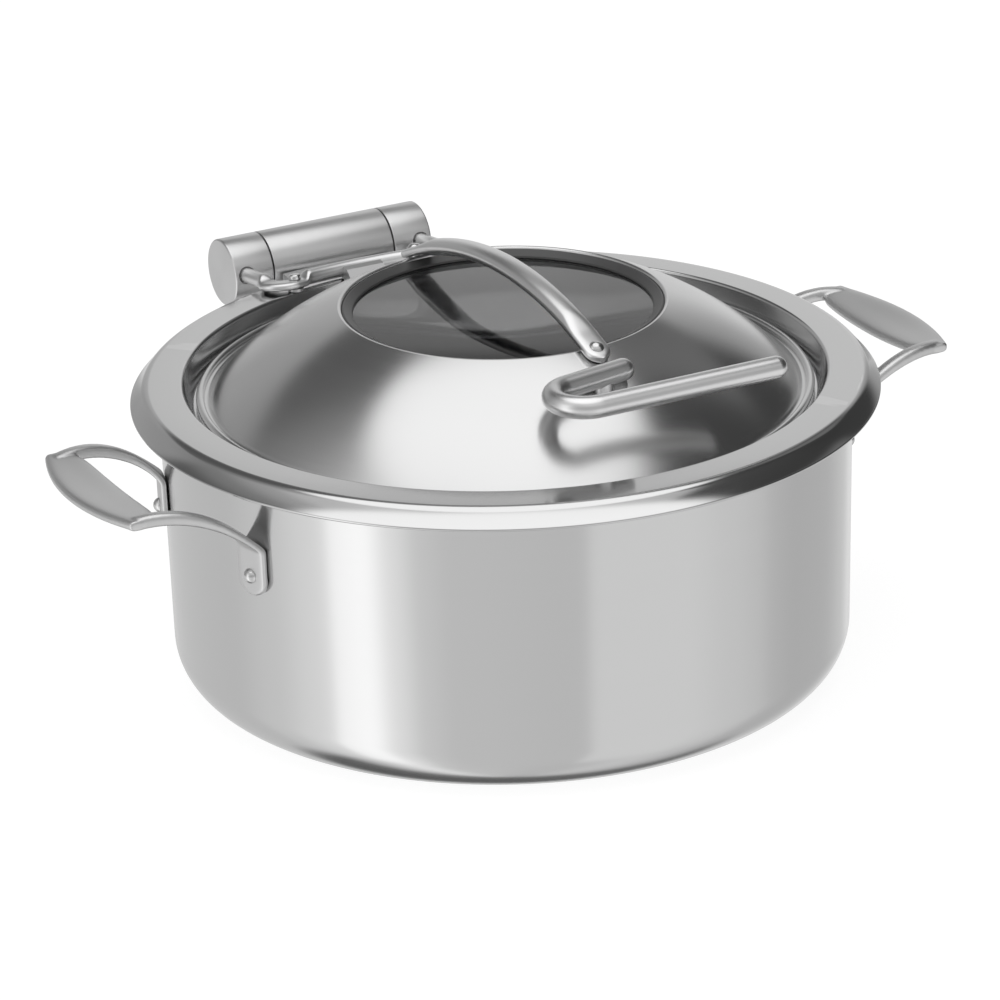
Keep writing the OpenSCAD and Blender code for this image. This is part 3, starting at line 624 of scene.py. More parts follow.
@dataclass(frozen=True)
class BrushedSteel:
    """Stainless steel brushed round an axis, as spun and turned ware is."""

    name: str
    colour: Colour = (0.66, 0.66, 0.66)
    roughness: float = 0.24
    anisotropy: float = 0.7
    grain: float = 0.02
    bump: float = 0.0025
    fineness: float = 1500.0
    turned: Turned = Turned.UPRIGHT
    centre: tuple[float, float, float] = (0.0, 0.0, 0.0)
    cloud: float = 0.02
    scratch: float = 0.012
    spread: float = 0.015
    pale: float = 1.12

    def build(self) -> bpy.types.Material:
        """Makes the material.

        Returns:
            The finished material.
        """
        board = Board(self.name)
        vector = board.place
        shift = board.tree.nodes.new("ShaderNodeMapping")
        shift.inputs["Location"].default_value = tuple(-c for c in self.centre)
        board.tree.links.new(vector, shift.inputs["Vector"])
        vector = shift.outputs[0]
        if self.turned is Turned.CROSSWISE:
            swing = board.tree.nodes.new("ShaderNodeMapping")
            swing.inputs["Rotation"].default_value = (0.0, math.pi / 2, 0.0)
            board.tree.links.new(vector, swing.inputs["Vector"])
            vector = swing.outputs[0]
        grain = board.group(Effects.turned_grain(), vector, Fineness=self.fineness)
        use = board.group(Effects.handling())
        wear = board.group(Effects.edge_wear())
        board.roughen(self.roughness, (
            (grain.outputs["Grain"], self.grain * 2), (grain.outputs["Band"], self.grain * 1.6),
            (use.outputs["Cloud"], self.cloud * 2),
        ), use.outputs["Scratch"], self.scratch)
        tone = board.tones(grain.outputs["Grain"], self.colour, self.spread)
        board.worn(tone, wear, shade(self.colour, self.pale))
        board.set("Metallic", 1.0)
        board.set("Anisotropic", self.anisotropy)
        board.set("Anisotropic Rotation", 0.25)
        tangent = board.tree.nodes.new("ShaderNodeTangent")
        tangent.direction_type = "RADIAL"
        tangent.axis = self.turned.value
        board.tree.links.new(tangent.outputs[0], board.shader.inputs["Tangent"])
        board.bump(grain.outputs["Grain"], 0.35, self.bump)
        return board.material


@dataclass(frozen=True)
class SatinSteel:
    """Stainless steel with an even satin, as on castings and bent rods."""

    name: str
    colour: Colour = (0.64, 0.64, 0.64)
    roughness: float = 0.3
    pit: float = 900.0
    depth: float = 0.006
    cloud: float = 0.04
    scratch: float = 0.02
    spread: float = 0.02
    pale: float = 1.08

    def build(self) -> bpy.types.Material:
        """Makes the material.

        Returns:
            The finished material.
        """
        board = Board(self.name)
        use = board.group(Effects.handling(), Cloud_Size=22.0, Scratch_Size=140.0)
        wear = board.group(Effects.edge_wear(), Break_Up=0.12)
        pit = board.tree.nodes.new("ShaderNodeTexNoise")
        pit.inputs["Scale"].default_value = self.pit
        pit.inputs["Detail"].default_value = 2.0
        board.tree.links.new(board.place, pit.inputs["Vector"])
        cloud = (use.outputs["Cloud"], self.cloud * 2)
        board.roughen(self.roughness, (cloud,), use.outputs["Scratch"], self.scratch)
        tone = board.tones(pit.outputs["Fac"], self.colour, self.spread)
        board.worn(tone, wear, shade(self.colour, self.pale))
        board.set("Metallic", 1.0)
        board.bump(pit.outputs["Fac"], 0.3, self.depth)
        return board.material


@dataclass(frozen=True)
class Moulded:
    """Moulded rubber or polymer with a fine matt skin."""

    name: str
    colour: Colour = (0.03, 0.03, 0.03)
    roughness: float = 0.45
    specular: float = 0.5
    cloud: float = 0.16
    spread: float = 0.15
    pale: float = 1.6

    def build(self) -> bpy.types.Material:
        """Makes the material.

        Returns:
            The finished material.
        """
        board = Board(self.name)
        use = board.group(Effects.handling(), Cloud_Size=30.0, Scratch_Size=90.0)
        wear = board.group(Effects.edge_wear())
        skin = board.tree.nodes.new("ShaderNodeTexNoise")
        skin.inputs["Scale"].default_value = 1600.0
        board.tree.links.new(board.place, skin.inputs["Vector"])
        board.roughen(self.roughness, ((use.outputs["Cloud"], self.cloud),))
        tone = board.tones(use.outputs["Cloud"], self.colour, self.spread)
        board.worn(tone, wear, shade(self.colour, self.pale))
        board.set("Specular IOR Level", self.specular)
        board.bump(skin.outputs["Fac"], 0.3, 0.02)
        return board.material


@dataclass(frozen=True)
class ClearGlass:
    """Toughened glass with a faint grey tint and wiped-on streaks."""

    name: str
    colour: Colour = (0.88, 0.885, 0.89)
    roughness: float = 0.02
    ior: float = 1.6
    cloud: float = 0.03
    scratch: float = 0.04
    spread: float = 0.03

    def build(self) -> bpy.types.Material:
        """Makes the material.

        Returns:
            The finished material.
        """
        board = Board(self.name)
        use = board.group(Effects.handling(), Cloud_Size=14.0, Scratch_Size=70.0)
        rough = board.maths(
            "ADD", self.roughness, board.maths("MULTIPLY", use.outputs["Cloud"], self.cloud))
        streak = board.maths("MULTIPLY", use.outputs["Scratch"], self.scratch)
        board.feed(board.maths("ADD", rough, streak), "Roughness")
        board.feed(board.tones(use.outputs["Cloud"], self.colour, self.spread), "Base Color")
        board.set("Transmission Weight", 1.0)
        board.set("IOR", self.ior)
        return board.material


# ---------------------------------------------------------------- sub-assemblies


class SubAssembly:
    """Base of the sub-assemblies: seats their pieces and dresses the solids they keep."""

    body: Body = Body.POT

    def seat(
        self, piece: bpy.types.Object, finish: bpy.types.Material, slot: str, *nodes: str,
    ) -> bpy.types.Object:
        """Dresses a piece, lets it ride on its body and stand for CAD nodes.

        Args:
            piece: The new object.
            finish: Its material.
            slot: Name of a material slot; not used.
            *nodes: CAD nodes that it replaces.

        Returns:
            The piece.
        """
        piece.data.materials.clear()
        piece.data.materials.append(finish)
        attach(piece, self.body.value)
        if nodes:
            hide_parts(*nodes)
        LOG.info("%s: %d faces on %s", piece.name, len(piece.data.polygons), self.body.value)
        return piece

    def dress(self, node: str, finish: bpy.types.Material) -> None:
        """Gives a CAD node a finish in all its slots.

        Args:
            node: Name of the node.
            finish: Its material.
        """
        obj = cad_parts[node]
        if not obj.material_slots:
            obj.data.materials.append(finish)
        for place in obj.material_slots:
            place.material = finish
        LOG.info("%s keeps its solid", node)


# ---------------------------------------------------------------- pot


@dataclass
class Pot(SubAssembly):
    """The pot: wall, base disc, side handles and their rivets."""

    radius: float = 185.2
    taper: float = 2.6
    height: float = 166.75
    wall: float = 1.6
    corner: float = 26.0
    rim: float = 1.8
    disc: float = 148.0
    disc_t: float = 5.0
    drop: float = 1.0
    seat_gap: float = 0.1
    foot_angle: float = 17.4
    foot_z: float = 109.5
    foot_w: float = 20.0
    foot_t: float = 4.0
    foot_h: float = 26.0
    foot_low: float = 11.0
    foot_share: float = 0.35
    foot_tip: float = 0.12
    leg_t: float = 8.0
    leg_in: float = 5.0
    leg_out: float = 3.4
    leg_x: float = 206.0
    corner_in: float = 15.0
    reach: float = 254.5
    leaf_w: float = 30.0
    leaf_t: float = 7.0
    leaf_half: float = 55.0
    leaf_z: float = 147.7
    leaf_tilt: float = 6.0
    melt: float = 0.8
    melt_passes: int = 5
    head: float = 4.1
    head_h: float = 3.2
    tail_h: float = 1.8
    shank: float = 2.6
    body: Body = Body.POT

    def wall_r(self, z: float) -> float:
        """Outside radius of the wall at a height."""
        return self.radius - self.taper + self.taper * z / self.height

    def shell(self) -> bpy.types.Object:
        """Builds the pot with its rolled rim and raised floor.

        Returns:
            The pot.
        """
        t, z0, gap = self.wall, self.drop, self.seat_gap
        top = self.height - self.rim
        mid = self.wall_r(self.height) - t / 2
        outside = rounded([
            (self.disc + gap, self.disc_t + gap, 0), (self.disc + gap, z0, 0.5),
            (self.wall_r(z0), z0, self.corner), (self.wall_r(top), top - 1.6, 0),
        ], 16)
        bead = arc(mid, top, self.rim, -32, 212, 18)
        inside = rounded([
            (self.wall_r(top) - t, top - 1.6, 0), (self.wall_r(z0) - t, z0 + t, self.corner - t),
            (self.disc + gap + t, z0 + t, 1.0), (self.disc + gap + t, self.disc_t + gap + t, 1.0),
            (0, self.disc_t + gap + t, 0),
        ], 16)
        return Maker.revolve("pot_shell", outside + bead + inside + [(0, self.disc_t + gap)], 288)

    def base(self) -> bpy.types.Object:
        """Builds the bonded disc with its turned chamfer.

        Returns:
            The disc.
        """
        profile = [(0.0, 0.0)] + rounded([
            (20, 0, 0), (self.disc, 0, 1.0), (self.disc, self.disc_t, 0.3), (20, self.disc_t, 0),
        ], 5) + [(0.0, self.disc_t)]
        return Maker.revolve("induction_disc", profile, 192)

    def foot_frame(self, side: int, turn: float) -> Matrix:
        """Frame on the wall at a rivet, its z pointing outward.

        Args:
            side: -1 for the left handle, 1 for the right.
            turn: Angle from the handle's middle line.

        Returns:
            The frame in millimetres.
        """
        spin = math.radians((0 if side > 0 else 180) + turn)
        lean = math.atan(self.taper / self.height)
        return (
            Matrix.Rotation(spin, 4, "Z")
            @ Matrix.Translation((self.wall_r(self.foot_z), 0, self.foot_z))
            @ Matrix.Rotation(lean, 4, "Y") @ Matrix.Rotation(math.pi / 2, 4, "Y")
        )

    def leg_point(self, t: float) -> Vector:
        """Middle line of a leg, from the foot's lower end to the grip's corner.

        Args:
            t: Share of the leg's length.

        Returns:
            The point in millimetres.
        """
        angle = math.radians(self.foot_angle)
        low = self.foot_z - self.foot_low
        top = low + self.foot_h

        def on_wall(z: float) -> Vector:
            """Middle of the foot's strap at a height."""
            r = self.wall_r(z) + self.seat_gap + self.foot_t / 2
            return Vector((r * math.cos(angle), r * math.sin(angle), z))

        if t < self.foot_share:
            return on_wall(mix(low, top, t / self.foot_share))
        s = (t - self.foot_share) / (1 - self.foot_share)
        a = on_wall(top)
        b = a + Vector((1.2, 0.1, 4))
        c = Vector((self.leg_x, self.leaf_half + self.leg_out, self.leaf_z + 8))
        d = Vector((self.reach - self.corner_in, self.leaf_half - self.leg_in, self.leaf_z + 1.6))
        w = 1 - s
        return a * w**3 + b * (3 * w * w * s) + c * (3 * w * s * s) + d * s**3

    def leg_ring(self, t: float) -> list[Vector]:
        """Section of a leg: a flat strap on the wall that turns into a rounded bar.

        Args:
            t: Share of the leg's length.

        Returns:
            The ring's points.
        """
        step = 0.004
        run = (self.leg_point(min(1, t + step)) - self.leg_point(max(0, t - step))).normalized()
        turn = math.radians(mix(self.foot_angle, 0, ease((t - 0.3) / 0.5)))
        across = Vector((-math.sin(turn), math.cos(turn), 0))
        k = ease((t - 0.32) / 0.36)
        thick = mix(self.foot_t, self.leg_t - 1, ease((t - 0.45) / 0.45))
        tip = 1.0
        if t < self.foot_tip:
            tip = math.sqrt(max(0.02, 1 - (1 - t / self.foot_tip) ** 2))
        return section(
            self.leg_point(t), across, across.cross(run).normalized(),
            mix(self.foot_w, self.leg_t, k) / 2 * tip, thick / 2, mix(5, 3.2, k), 36,
        )

    def leaf_ring(self, t: float) -> list[Vector]:
        """Section of the leaf-shaped grip.

        Args:
            t: Place along the grip, -1 to 1.

        Returns:
            The ring's points.
        """
        flat = self.leaf_w * math.cos(math.radians(self.leaf_tilt))
        inner = self.reach - flat + 1.5 * t * t + 11 * t**12
        outer = self.reach - 10.8 * t * t
        end = 0.6 if abs(t) > 0.9999 else 1.0
        tilt = math.radians(self.leaf_tilt * (1 - t * t * 0.8))
        half = max(1.4, (outer - inner) / 2 / math.cos(math.radians(self.leaf_tilt)))
        thick = self.leaf_t / 2 * (1 - 0.24 * abs(t) ** 2.4)
        return section(
            Vector(((inner + outer) / 2, self.leaf_half * t, self.leaf_z + 2 * t * t)),
            Vector((math.cos(tilt), 0, math.sin(tilt))),
            Vector((-math.sin(tilt), 0, math.cos(tilt))),
            half * end, thick * end, 3.2, 44, 0.25 * (1 - t * t),
        )

    def handle(self, side: int) -> bpy.types.Object:
        """Builds one cast side handle.

        Args:
            side: -1 for the left handle, 1 for the right.

        Returns:
            The handle.
        """
        bm = bmesh.new()
        stations = [self.foot_tip * (i / 10) ** 2 for i in range(10)]
        stations += [mix(self.foot_tip, 1, i / 60) for i in range(61)]
        rings = [self.leg_ring(t) for t in stations]
        Maker.skin_into(bm, rings)
        Maker.skin_into(bm, [[Vector((p.x, -p.y, p.z)) for p in ring] for ring in rings])
        leaf = [self.leaf_ring(math.sin(math.pi / 2 * i / 40)) for i in range(-40, 41)]
        Maker.skin_into(bm, leaf)
        if side < 0:
            bmesh.ops.rotate(bm, matrix=Matrix.Rotation(math.pi, 3, "Z"), verts=bm.verts)
        name = "handle_left" if side < 0 else "handle_right"
        return Maker.fused(Maker.from_bmesh(name, bm), self.melt, self.melt_passes)

    def rivets(self, side: int) -> bpy.types.Object:
        """Builds the two rivets of a handle, heads outside and inside.

        Args:
            side: -1 for the left handle, 1 for the right.

        Returns:
            Both rivets as one object.
        """
        out = self.foot_t + 2 * self.seat_gap
        inner = self.wall + self.tail_h + self.seat_gap
        tail = rounded([
            (1, -inner, 0), (self.head, -inner, 0.5), (self.head, -inner + self.tail_h, 0.3),
            (self.shank, -inner + self.tail_h, 0),
        ], 4)
        profile = [
            (0, -inner), *tail, (self.shank, out), *crown(self.head, self.head_h, out),
        ]
        bm = bmesh.new()
        for turn in (-self.foot_angle, self.foot_angle):
            Maker.revolve_into(bm, profile, self.foot_frame(side, turn), RIVET_STEPS)
        return Maker.from_bmesh("rivets_left" if side < 0 else "rivets_right", bm)

    def build(self) -> None:
        """Builds and dresses the pot and all that is fixed to it."""
        wall = BrushedSteel("pot steel", (0.66, 0.66, 0.66), 0.17, 0.75).build()
        under = BrushedSteel("disc steel", (0.58, 0.58, 0.58), 0.35, 0.5, grain=0.08).build()
        cast = SatinSteel("handle casting", (0.68, 0.68, 0.68), 0.38, depth=0.004).build()
        head = SatinSteel("rivet steel", (0.7, 0.7, 0.7), 0.24, depth=0.004).build()
        self.seat(self.shell(), wall, "pot_steel", "pot_body")
        self.seat(self.base(), under, "base_steel", "base_disc")
        for side, word in ((-1, "left"), (1, "right")):
            self.seat(self.handle(side), cast, "cast_satin", f"{word}_handle")
            self.seat(self.rivets(side), head, "rivet_steel", f"{word}_handle_rivets")


# ---------------------------------------------------------------- collar


@dataclass
class Collar(SubAssembly):
    """The lift-off collar: ring, soup insert and the fixed half of the hinge."""

    radius: float = 200.0
    skirt_z: float = 157.696
    skirt_rise: float = 11.24
    sheet: float = 1.5
    shoulder: float = 6.2
    flare: float = 4.6
    rise: float = 0.84
    mouth: float = 171.5
    wall_lean: float = 4.6
    roll: float = 1.8
    drop: float = 12.9
    ledge: float = 155.0
    hem: float = 0.9
    face: float = 40.08
    flange: float = 164.4
    insert_r: float = 153.0
    insert_base: float = 147.0
    insert_z: float = 24.0
    insert_corner: float = 24.0
    insert_t: float = 1.2
    hinge_y: float = 223.7
    hinge_z: float = 166.596
    barrel: float = 19.2
    barrel_wall: float = 2.6
    half: float = 37.4
    seat_gap: float = 0.1
    body: Body = Body.COLLAR

    @property
    def shoulder_z(self) -> float:
        """Height of the shoulder's centre."""
        return self.skirt_z + self.skirt_rise - self.rise - self.shoulder

    @property
    def top_z(self) -> float:
        """Height of the collar's highest line."""
        return self.shoulder_z + self.shoulder + self.rise

    @property
    def ledge_z(self) -> float:
        """Height of the ledge that carries the insert."""
        return self.top_z - self.drop

    def ring(self) -> bpy.types.Object:
        """Builds the collar ring with hem, shoulder, rolled edge and ledge.

        Returns:
            The collar ring.
        """
        t, turn = self.sheet, math.degrees(math.acos(self.sheet / 2 / self.hem))
        sx, sz = self.radius - self.flare - self.shoulder, self.shoulder_z
        mx, mz = self.mouth + self.roll, self.top_z - self.roll
        wall = self.mouth - self.wall_lean
        profile = arc(self.radius - self.hem, self.skirt_z + self.hem, self.hem,
            self.face - 180 - turn, self.face + turn, 24)
        profile += arc(sx, sz, self.shoulder, self.face, 90, 22)
        profile += arc(mx, mz, self.roll, 90, 176, 14)
        profile += rounded([
            (self.mouth, mz - 0.2, 0), (wall, self.ledge_z, 1.6), (self.ledge, self.ledge_z, 0.6),
            (self.ledge, self.ledge_z - t, 0.6), (wall + t, self.ledge_z - t, 2.0),
            (self.mouth + t, mz - 0.2, 0),
        ], 8)
        profile += arc(mx, mz, self.roll - t, 176, 90, 5)
        profile += arc(sx, sz, self.shoulder - t, 90, self.face, 14)
        return Maker.revolve("collar", profile, 320, sharp=40)

    def insert(self) -> bpy.types.Object:
        """Builds the soup insert that hangs on the ledge.

        Returns:
            The insert.
        """
        t, top, c = self.insert_t, self.ledge_z + self.seat_gap, self.insert_corner
        profile = [(0.0, self.insert_z)]
        profile += rounded([
            (40, self.insert_z, 0), (self.insert_base, self.insert_z, c),
            (self.insert_r, top, 0.0), (self.flange - 0.5, top, 0),
        ], 16)
        profile += arc(self.flange - 0.6, top + 0.6, 0.6, -90, 90, 8)
        profile += rounded([
            (self.flange - 0.8, top + t, 0), (self.insert_r - t, top + t, 1.6),
            (self.insert_base - t, self.insert_z + t, c - t), (40, self.insert_z + t, 0),
        ], 16)
        profile += [(0.0, self.insert_z + t)]
        return Maker.revolve("insert", profile, 240, closed=False)

    def centre_section(self) -> bpy.types.Object:
        """Builds the fixed centre section of the barrel.

        Returns:
            The section.
        """
        r, inner = self.barrel, self.barrel - self.barrel_wall
        profile = rounded([
            (inner, 0, 0), (inner, -self.half, 0.3), (r, -self.half, 0.5), (r, self.half, 0.5),
            (inner, self.half, 0.3), (inner, 0, 0),
        ], 5)[:-1]
        place = Matrix.Translation((0, self.hinge_y, self.hinge_z)) @ Matrix.Rotation(
            math.pi / 2, 4, "Y")
        return Maker.revolve("barrel_centre", profile, BARREL_STEPS, place=place)

    def build(self) -> None:
        """Builds and dresses the collar and all that is fixed to it."""
        axis = (0.0, self.hinge_y * MM, self.hinge_z * MM)
        ring = BrushedSteel("collar steel", (0.66, 0.66, 0.66), 0.14, 0.6).build()
        insert = BrushedSteel("insert steel", (0.64, 0.64, 0.65), 0.3, 0.6).build()
        barrel = BrushedSteel("barrel steel", (0.7, 0.7, 0.7), 0.33, 0.5, grain=0.04,
            turned=Turned.CROSSWISE, centre=axis).build()
        cast = SatinSteel("bracket steel", (0.6, 0.6, 0.6), 0.38).build()
        screw = SatinSteel("screw steel", (0.5, 0.5, 0.51), 0.3).build()
        polymer = Moulded("bushing polymer", (0.05, 0.05, 0.05)).build()
        self.seat(self.ring(), ring, "collar_steel", "collar_ring")
        self.seat(self.insert(), insert, "insert_steel", "soup_insert")
        self.seat(self.centre_section(), barrel, "barrel_steel", "hinge_barrel")
        self.dress("hinge_bracket", cast)
        self.dress("bracket_screws", screw)
        self.dress("barrel_bushings", polymer)
        self.dress("damper_sleeve", polymer)


# ---------------------------------------------------------------- lid


@dataclass
class Lid(SubAssembly):
    """The lid: dome, window, arch handle and grip rod; LidHinge builds the hinge's moving half that
    rides with it.
    """

    dome: float = 217.6
    sheet: float = 1.2
    bead: float = 2.3
    bead_ring: float = 162.6
    bead_z: float = 159.936
    edge: float = 158.4
    centre_x: float = 3.5
    valley: float = 3.07
    window: float = 85.6
    lip_roll: float = 1.8
    glass_in: float = 3.2
    glass_t: float = 4.0
    glass_drop: float = 4.6
    gasket: float = 6.0
    arch: float = 219.0
    arch_z: float = 228.619
    arch_turn: float = 3.2
    arch_w: float = 13.5
    arch_t: float = 9.2
    tongue: float = 5.0
    arch_half: float = 100.0
    arch_round: float = 66.0
    arch_fade: float = 17.0
    arch_tip: float = 7.0
    arch_rivet: float = 92.8
    arch_head: float = 3.9
    arch_head_h: float = 2.1
    arch_shank: float = 2.4
    arch_tail: float = 3.3
    tail_low: float = -6.01
    tail_high: float = -4.41
    rod: float = 6.0
    rod_z: float = 202.085
    long_y: float = 150.2
    long_x: float = 78.7
    hairpin: float = 16.3
    hairpin_x: float = 23.9
    short_angle: float = 10.0
    short_l: float = 37.7
    gap: float = 0.1
    body: Body = Body.LID

    @property
    def centre_z(self) -> float:
        """Height of the centre of the dome's arc."""
        edge = math.sqrt(self.dome**2 - (self.edge - self.centre_x) ** 2)
        return self.bead_z + self.bead - self.valley - edge

    def dome_z(self, r: float) -> float:
        """Height of the dome's outer surface at a radius."""
        return self.centre_z + math.sqrt(self.dome**2 - (r - self.centre_x) ** 2)

    @property
    def window_top(self) -> float:
        """Height of the dome at the rim of the window."""
        return self.dome_z(self.window + self.lip_roll)

    @property
    def glass_top(self) -> float:
        """Height of the glass's upper face."""
        return self.window_top - self.glass_drop

    def dome_arc(self, r: float, start: float, end: float, steps: int) -> list[Point]:
        """Points on an arc about the dome's centre, between two radii from the lid's axis.

        Args:
            r: Radius of the arc.
            start: First radius from the lid's axis.
            end: Last radius from the lid's axis.
            steps: Number of chords.

        Returns:
            The points, both ends included.
        """
        a0 = math.degrees(math.acos((start - self.centre_x) / r))
        a1 = math.degrees(math.acos((end - self.centre_x) / r))
        return arc(self.centre_x, self.centre_z, r, a0, a1, steps)

    def shell(self) -> bpy.types.Object:
        """Builds the dome with its rolled bead and the lip of its window.

        Returns:
            The dome.
        """
        roll, t, w = self.lip_roll, self.sheet, self.window
        lip = self.glass_top - self.glass_t - 1.6
        top = self.window_top - roll
        profile = [(w, lip)] + arc(w + roll, top, roll, 180, 78, 12)
        profile += self.dome_arc(self.dome, w + roll + 0.4, self.edge - 1.4, 64)
        valley = self.dome_z(self.edge) - 0.1
        profile += [(self.edge - 0.6, valley + 0.42), (self.edge + 0.4, valley + 0.1),
            (self.edge + 1.3, valley + 0.15), (self.edge + 1.9, valley + 0.5)]
        profile += arc(self.bead_ring, self.bead_z, self.bead, 166, -170, 28)
        profile += [(self.edge + 0.2, self.dome_z(self.edge) - t - 0.2)]
        profile += self.dome_arc(self.dome - t, self.edge - 0.8, w + roll + 0.2, 48)
        profile += [(w + t + 0.2, top - 0.4), (w + t, top - 1.0), (w + t, lip)]
        return Maker.revolve("dome", profile, 288, sharp=38)

    def gasket_ring(self) -> bpy.types.Object:
        """Builds the gasket round the glass.

        Returns:
            The gasket.
        """
        r1, r0 = self.window - self.gap, self.window - self.gasket
        low = self.glass_top - self.glass_t - 1.4
        slot = self.window - self.glass_in + self.gap / 2
        profile = rounded([
            (r0, low, 0), (r1, low, 0.3), (r1, self.window_top - 1.4, 0.4),
            (r1 - 0.9, self.window_top - 0.8, 0.5), (r0 + 0.5, self.glass_top + 1.3, 0.5),
            (r0, self.glass_top + self.gap / 2, 0.2), (slot, self.glass_top + self.gap / 2, 0),
            (slot, self.glass_top - self.glass_t - self.gap / 2, 0),
            (r0, self.glass_top - self.glass_t - self.gap / 2, 0.2),
        ], 6)
        return Maker.revolve("gasket", profile, 240)

    def pane(self) -> bpy.types.Object:
        """Builds the flat pane with its ground edge.

        Returns:
            The pane.
        """
        r, top = self.window - self.glass_in, self.glass_top
        profile = [(0.0, top - self.glass_t)] + rounded([
            (20, top - self.glass_t, 0), (r, top - self.glass_t, 0.5), (r, top, 0.5), (20, top, 0),
        ], 5) + [(0.0, top)]
        return Maker.revolve("pane", profile, 192)

    def arch_ring(self, s: float) -> list[Vector]:
        """Section of the arch handle.

        Args:
            s: Distance from the lid's axis, negative at the grip's end.

        Returns:
            The ring's points.
        """
        a = math.asin(s / self.arch)
        k = ease((abs(s) - self.arch_round) / self.arch_fade)
        tip = max(0.0, (abs(s) - (self.arch_half - self.arch_tip)) / self.arch_tip)
        end = math.sqrt(max(0.03, 1 - tip * tip))
        spin = Matrix.Rotation(math.radians(self.arch_turn), 3, "Z")
        height = self.arch_z - self.arch + math.sqrt(self.arch**2 - s * s)
        return section(
            spin @ Vector((0, s, height)), spin @ Vector((1, 0, 0)),
            spin @ Vector((0, math.sin(a), math.cos(a))),
            mix(self.arch_w, self.arch_w + 1, k) / 2 * end,
            mix(self.arch_t, self.tongue, k) / 2 * mix(1.0, 0.8, ease((tip - 0.6) / 0.4)),
            mix(2.2, 3.4, k), 48,
        )

    def arch_handle(self) -> bpy.types.Object:
        """Builds the arch over the window with its flattened tongues.

        Returns:
            The arch handle.
        """
        flat = self.arch_half - self.arch_tip
        ends = [flat + self.arch_tip * math.sin(math.pi / 2 * i / 10) for i in range(10, -1, -1)]
        inner = [flat * i / 70 for i in range(69, -1, -1)]
        half = ends + inner
        stations = [-s for s in half] + list(reversed(half[:-1]))
        bm = bmesh.new()
        Maker.skin_into(bm, [self.arch_ring(s) for s in stations])
        return Maker.from_bmesh("arch", bm, 50)

    def at_arch(self, s: float) -> Matrix:
        """Frame on the arch, its z pointing away from the lid.

        Args:
            s: Distance from the lid's axis.

        Returns:
            The frame in millimetres.
        """
        return (
            Matrix.Rotation(math.radians(self.arch_turn), 4, "Z")
            @ Matrix.Translation((0, 0, self.arch_z - self.arch))
            @ Matrix.Rotation(-math.asin(s / self.arch), 4, "X")
            @ Matrix.Translation((0, 0, self.arch))
        )

    def arch_rivets(self) -> bpy.types.Object:
        """Builds the rivets that hold the arch's tongues.

        Returns:
            Both rivets as one object.
        """
        bm = bmesh.new()
        low, high, r = self.tail_low, self.tail_high, self.arch_tail
        base = self.tongue / 2 + self.gap
        profile = [
            (0.0, high), (self.arch_shank, high), (self.arch_shank, base),
            *crown(self.arch_head, self.arch_head_h, base),
        ]
        tail = [(0, low)] + rounded([(1, low, 0), (r, low, 0.4), (r, high, 0.3), (1, high, 0)], 4)
        for s in (-self.arch_rivet, self.arch_rivet):
            Maker.revolve_into(bm, profile, self.at_arch(s), RIVET_STEPS)
            Maker.revolve_into(bm, tail + [(0, high)], self.at_arch(s), RIVET_STEPS)
        return Maker.from_bmesh("arch_rivet_pair", bm)

    def short_leg(self, t: float) -> Vector:
        """Middle line of the rod's short leg.

        Args:
            t: 0 at the bend, 1 at the leg's end.

        Returns:
            The point in millimetres.
        """
        a = math.radians(self.short_angle)
        along, bend_y = self.short_l * t, -(self.long_y - self.hairpin)
        return Vector((
            -self.hairpin_x - self.hairpin * math.sin(a) + along * math.cos(a),
            bend_y + self.hairpin * math.cos(a) + along * math.sin(a),
            self.rod_z,
        ))

    def grip_rod(self) -> bpy.types.Object:
        """Builds the hairpin rod with its rounded ends.

        Returns:
            The rod.
        """
        stations: list[tuple[Vector, float, float]] = []
        a = self.short_angle
        lead = Vector((math.cos(math.radians(a)), math.sin(math.radians(a)), 0))
        for i in range(10):
            u = math.pi / 2 * (i + 0.4) / 10
            stations.append((self.short_leg(1) + lead * (self.rod * math.cos(u)), a, math.sin(u)))
        stations += [(self.short_leg(1 - i / 8), a, 1.0) for i in range(8)]
        turn = 180 - a
        for i in range(49):
            b = math.radians(90 + a + turn * i / 48)
            stations.append((Vector((
                -self.hairpin_x + self.hairpin * math.cos(b),
                -(self.long_y - self.hairpin) + self.hairpin * math.sin(b), self.rod_z,
            )), math.degrees(b) - 90, 1.0))
        for i in range(1, 15):
            x = mix(-self.hairpin_x, self.long_x, i / 14)
            stations.append((Vector((x, -self.long_y, self.rod_z)), 180, 1.0))
        for i in range(9, -1, -1):
            u = math.pi / 2 * (i + 0.4) / 10
            x = self.long_x + self.rod * math.cos(u)
            stations.append((Vector((x, -self.long_y, self.rod_z)), 180, math.sin(u)))
        rings = []
        for centre, angle, share in stations:
            g = math.radians(angle)
            rings.append(section(centre, Vector((-math.sin(g), math.cos(g), 0)), Vector((0, 0, 1)),
                self.rod * share, self.rod * share, 2, 40))
        bm = bmesh.new()
        Maker.skin_into(bm, rings)
        return Maker.from_bmesh("grip", bm, 50)

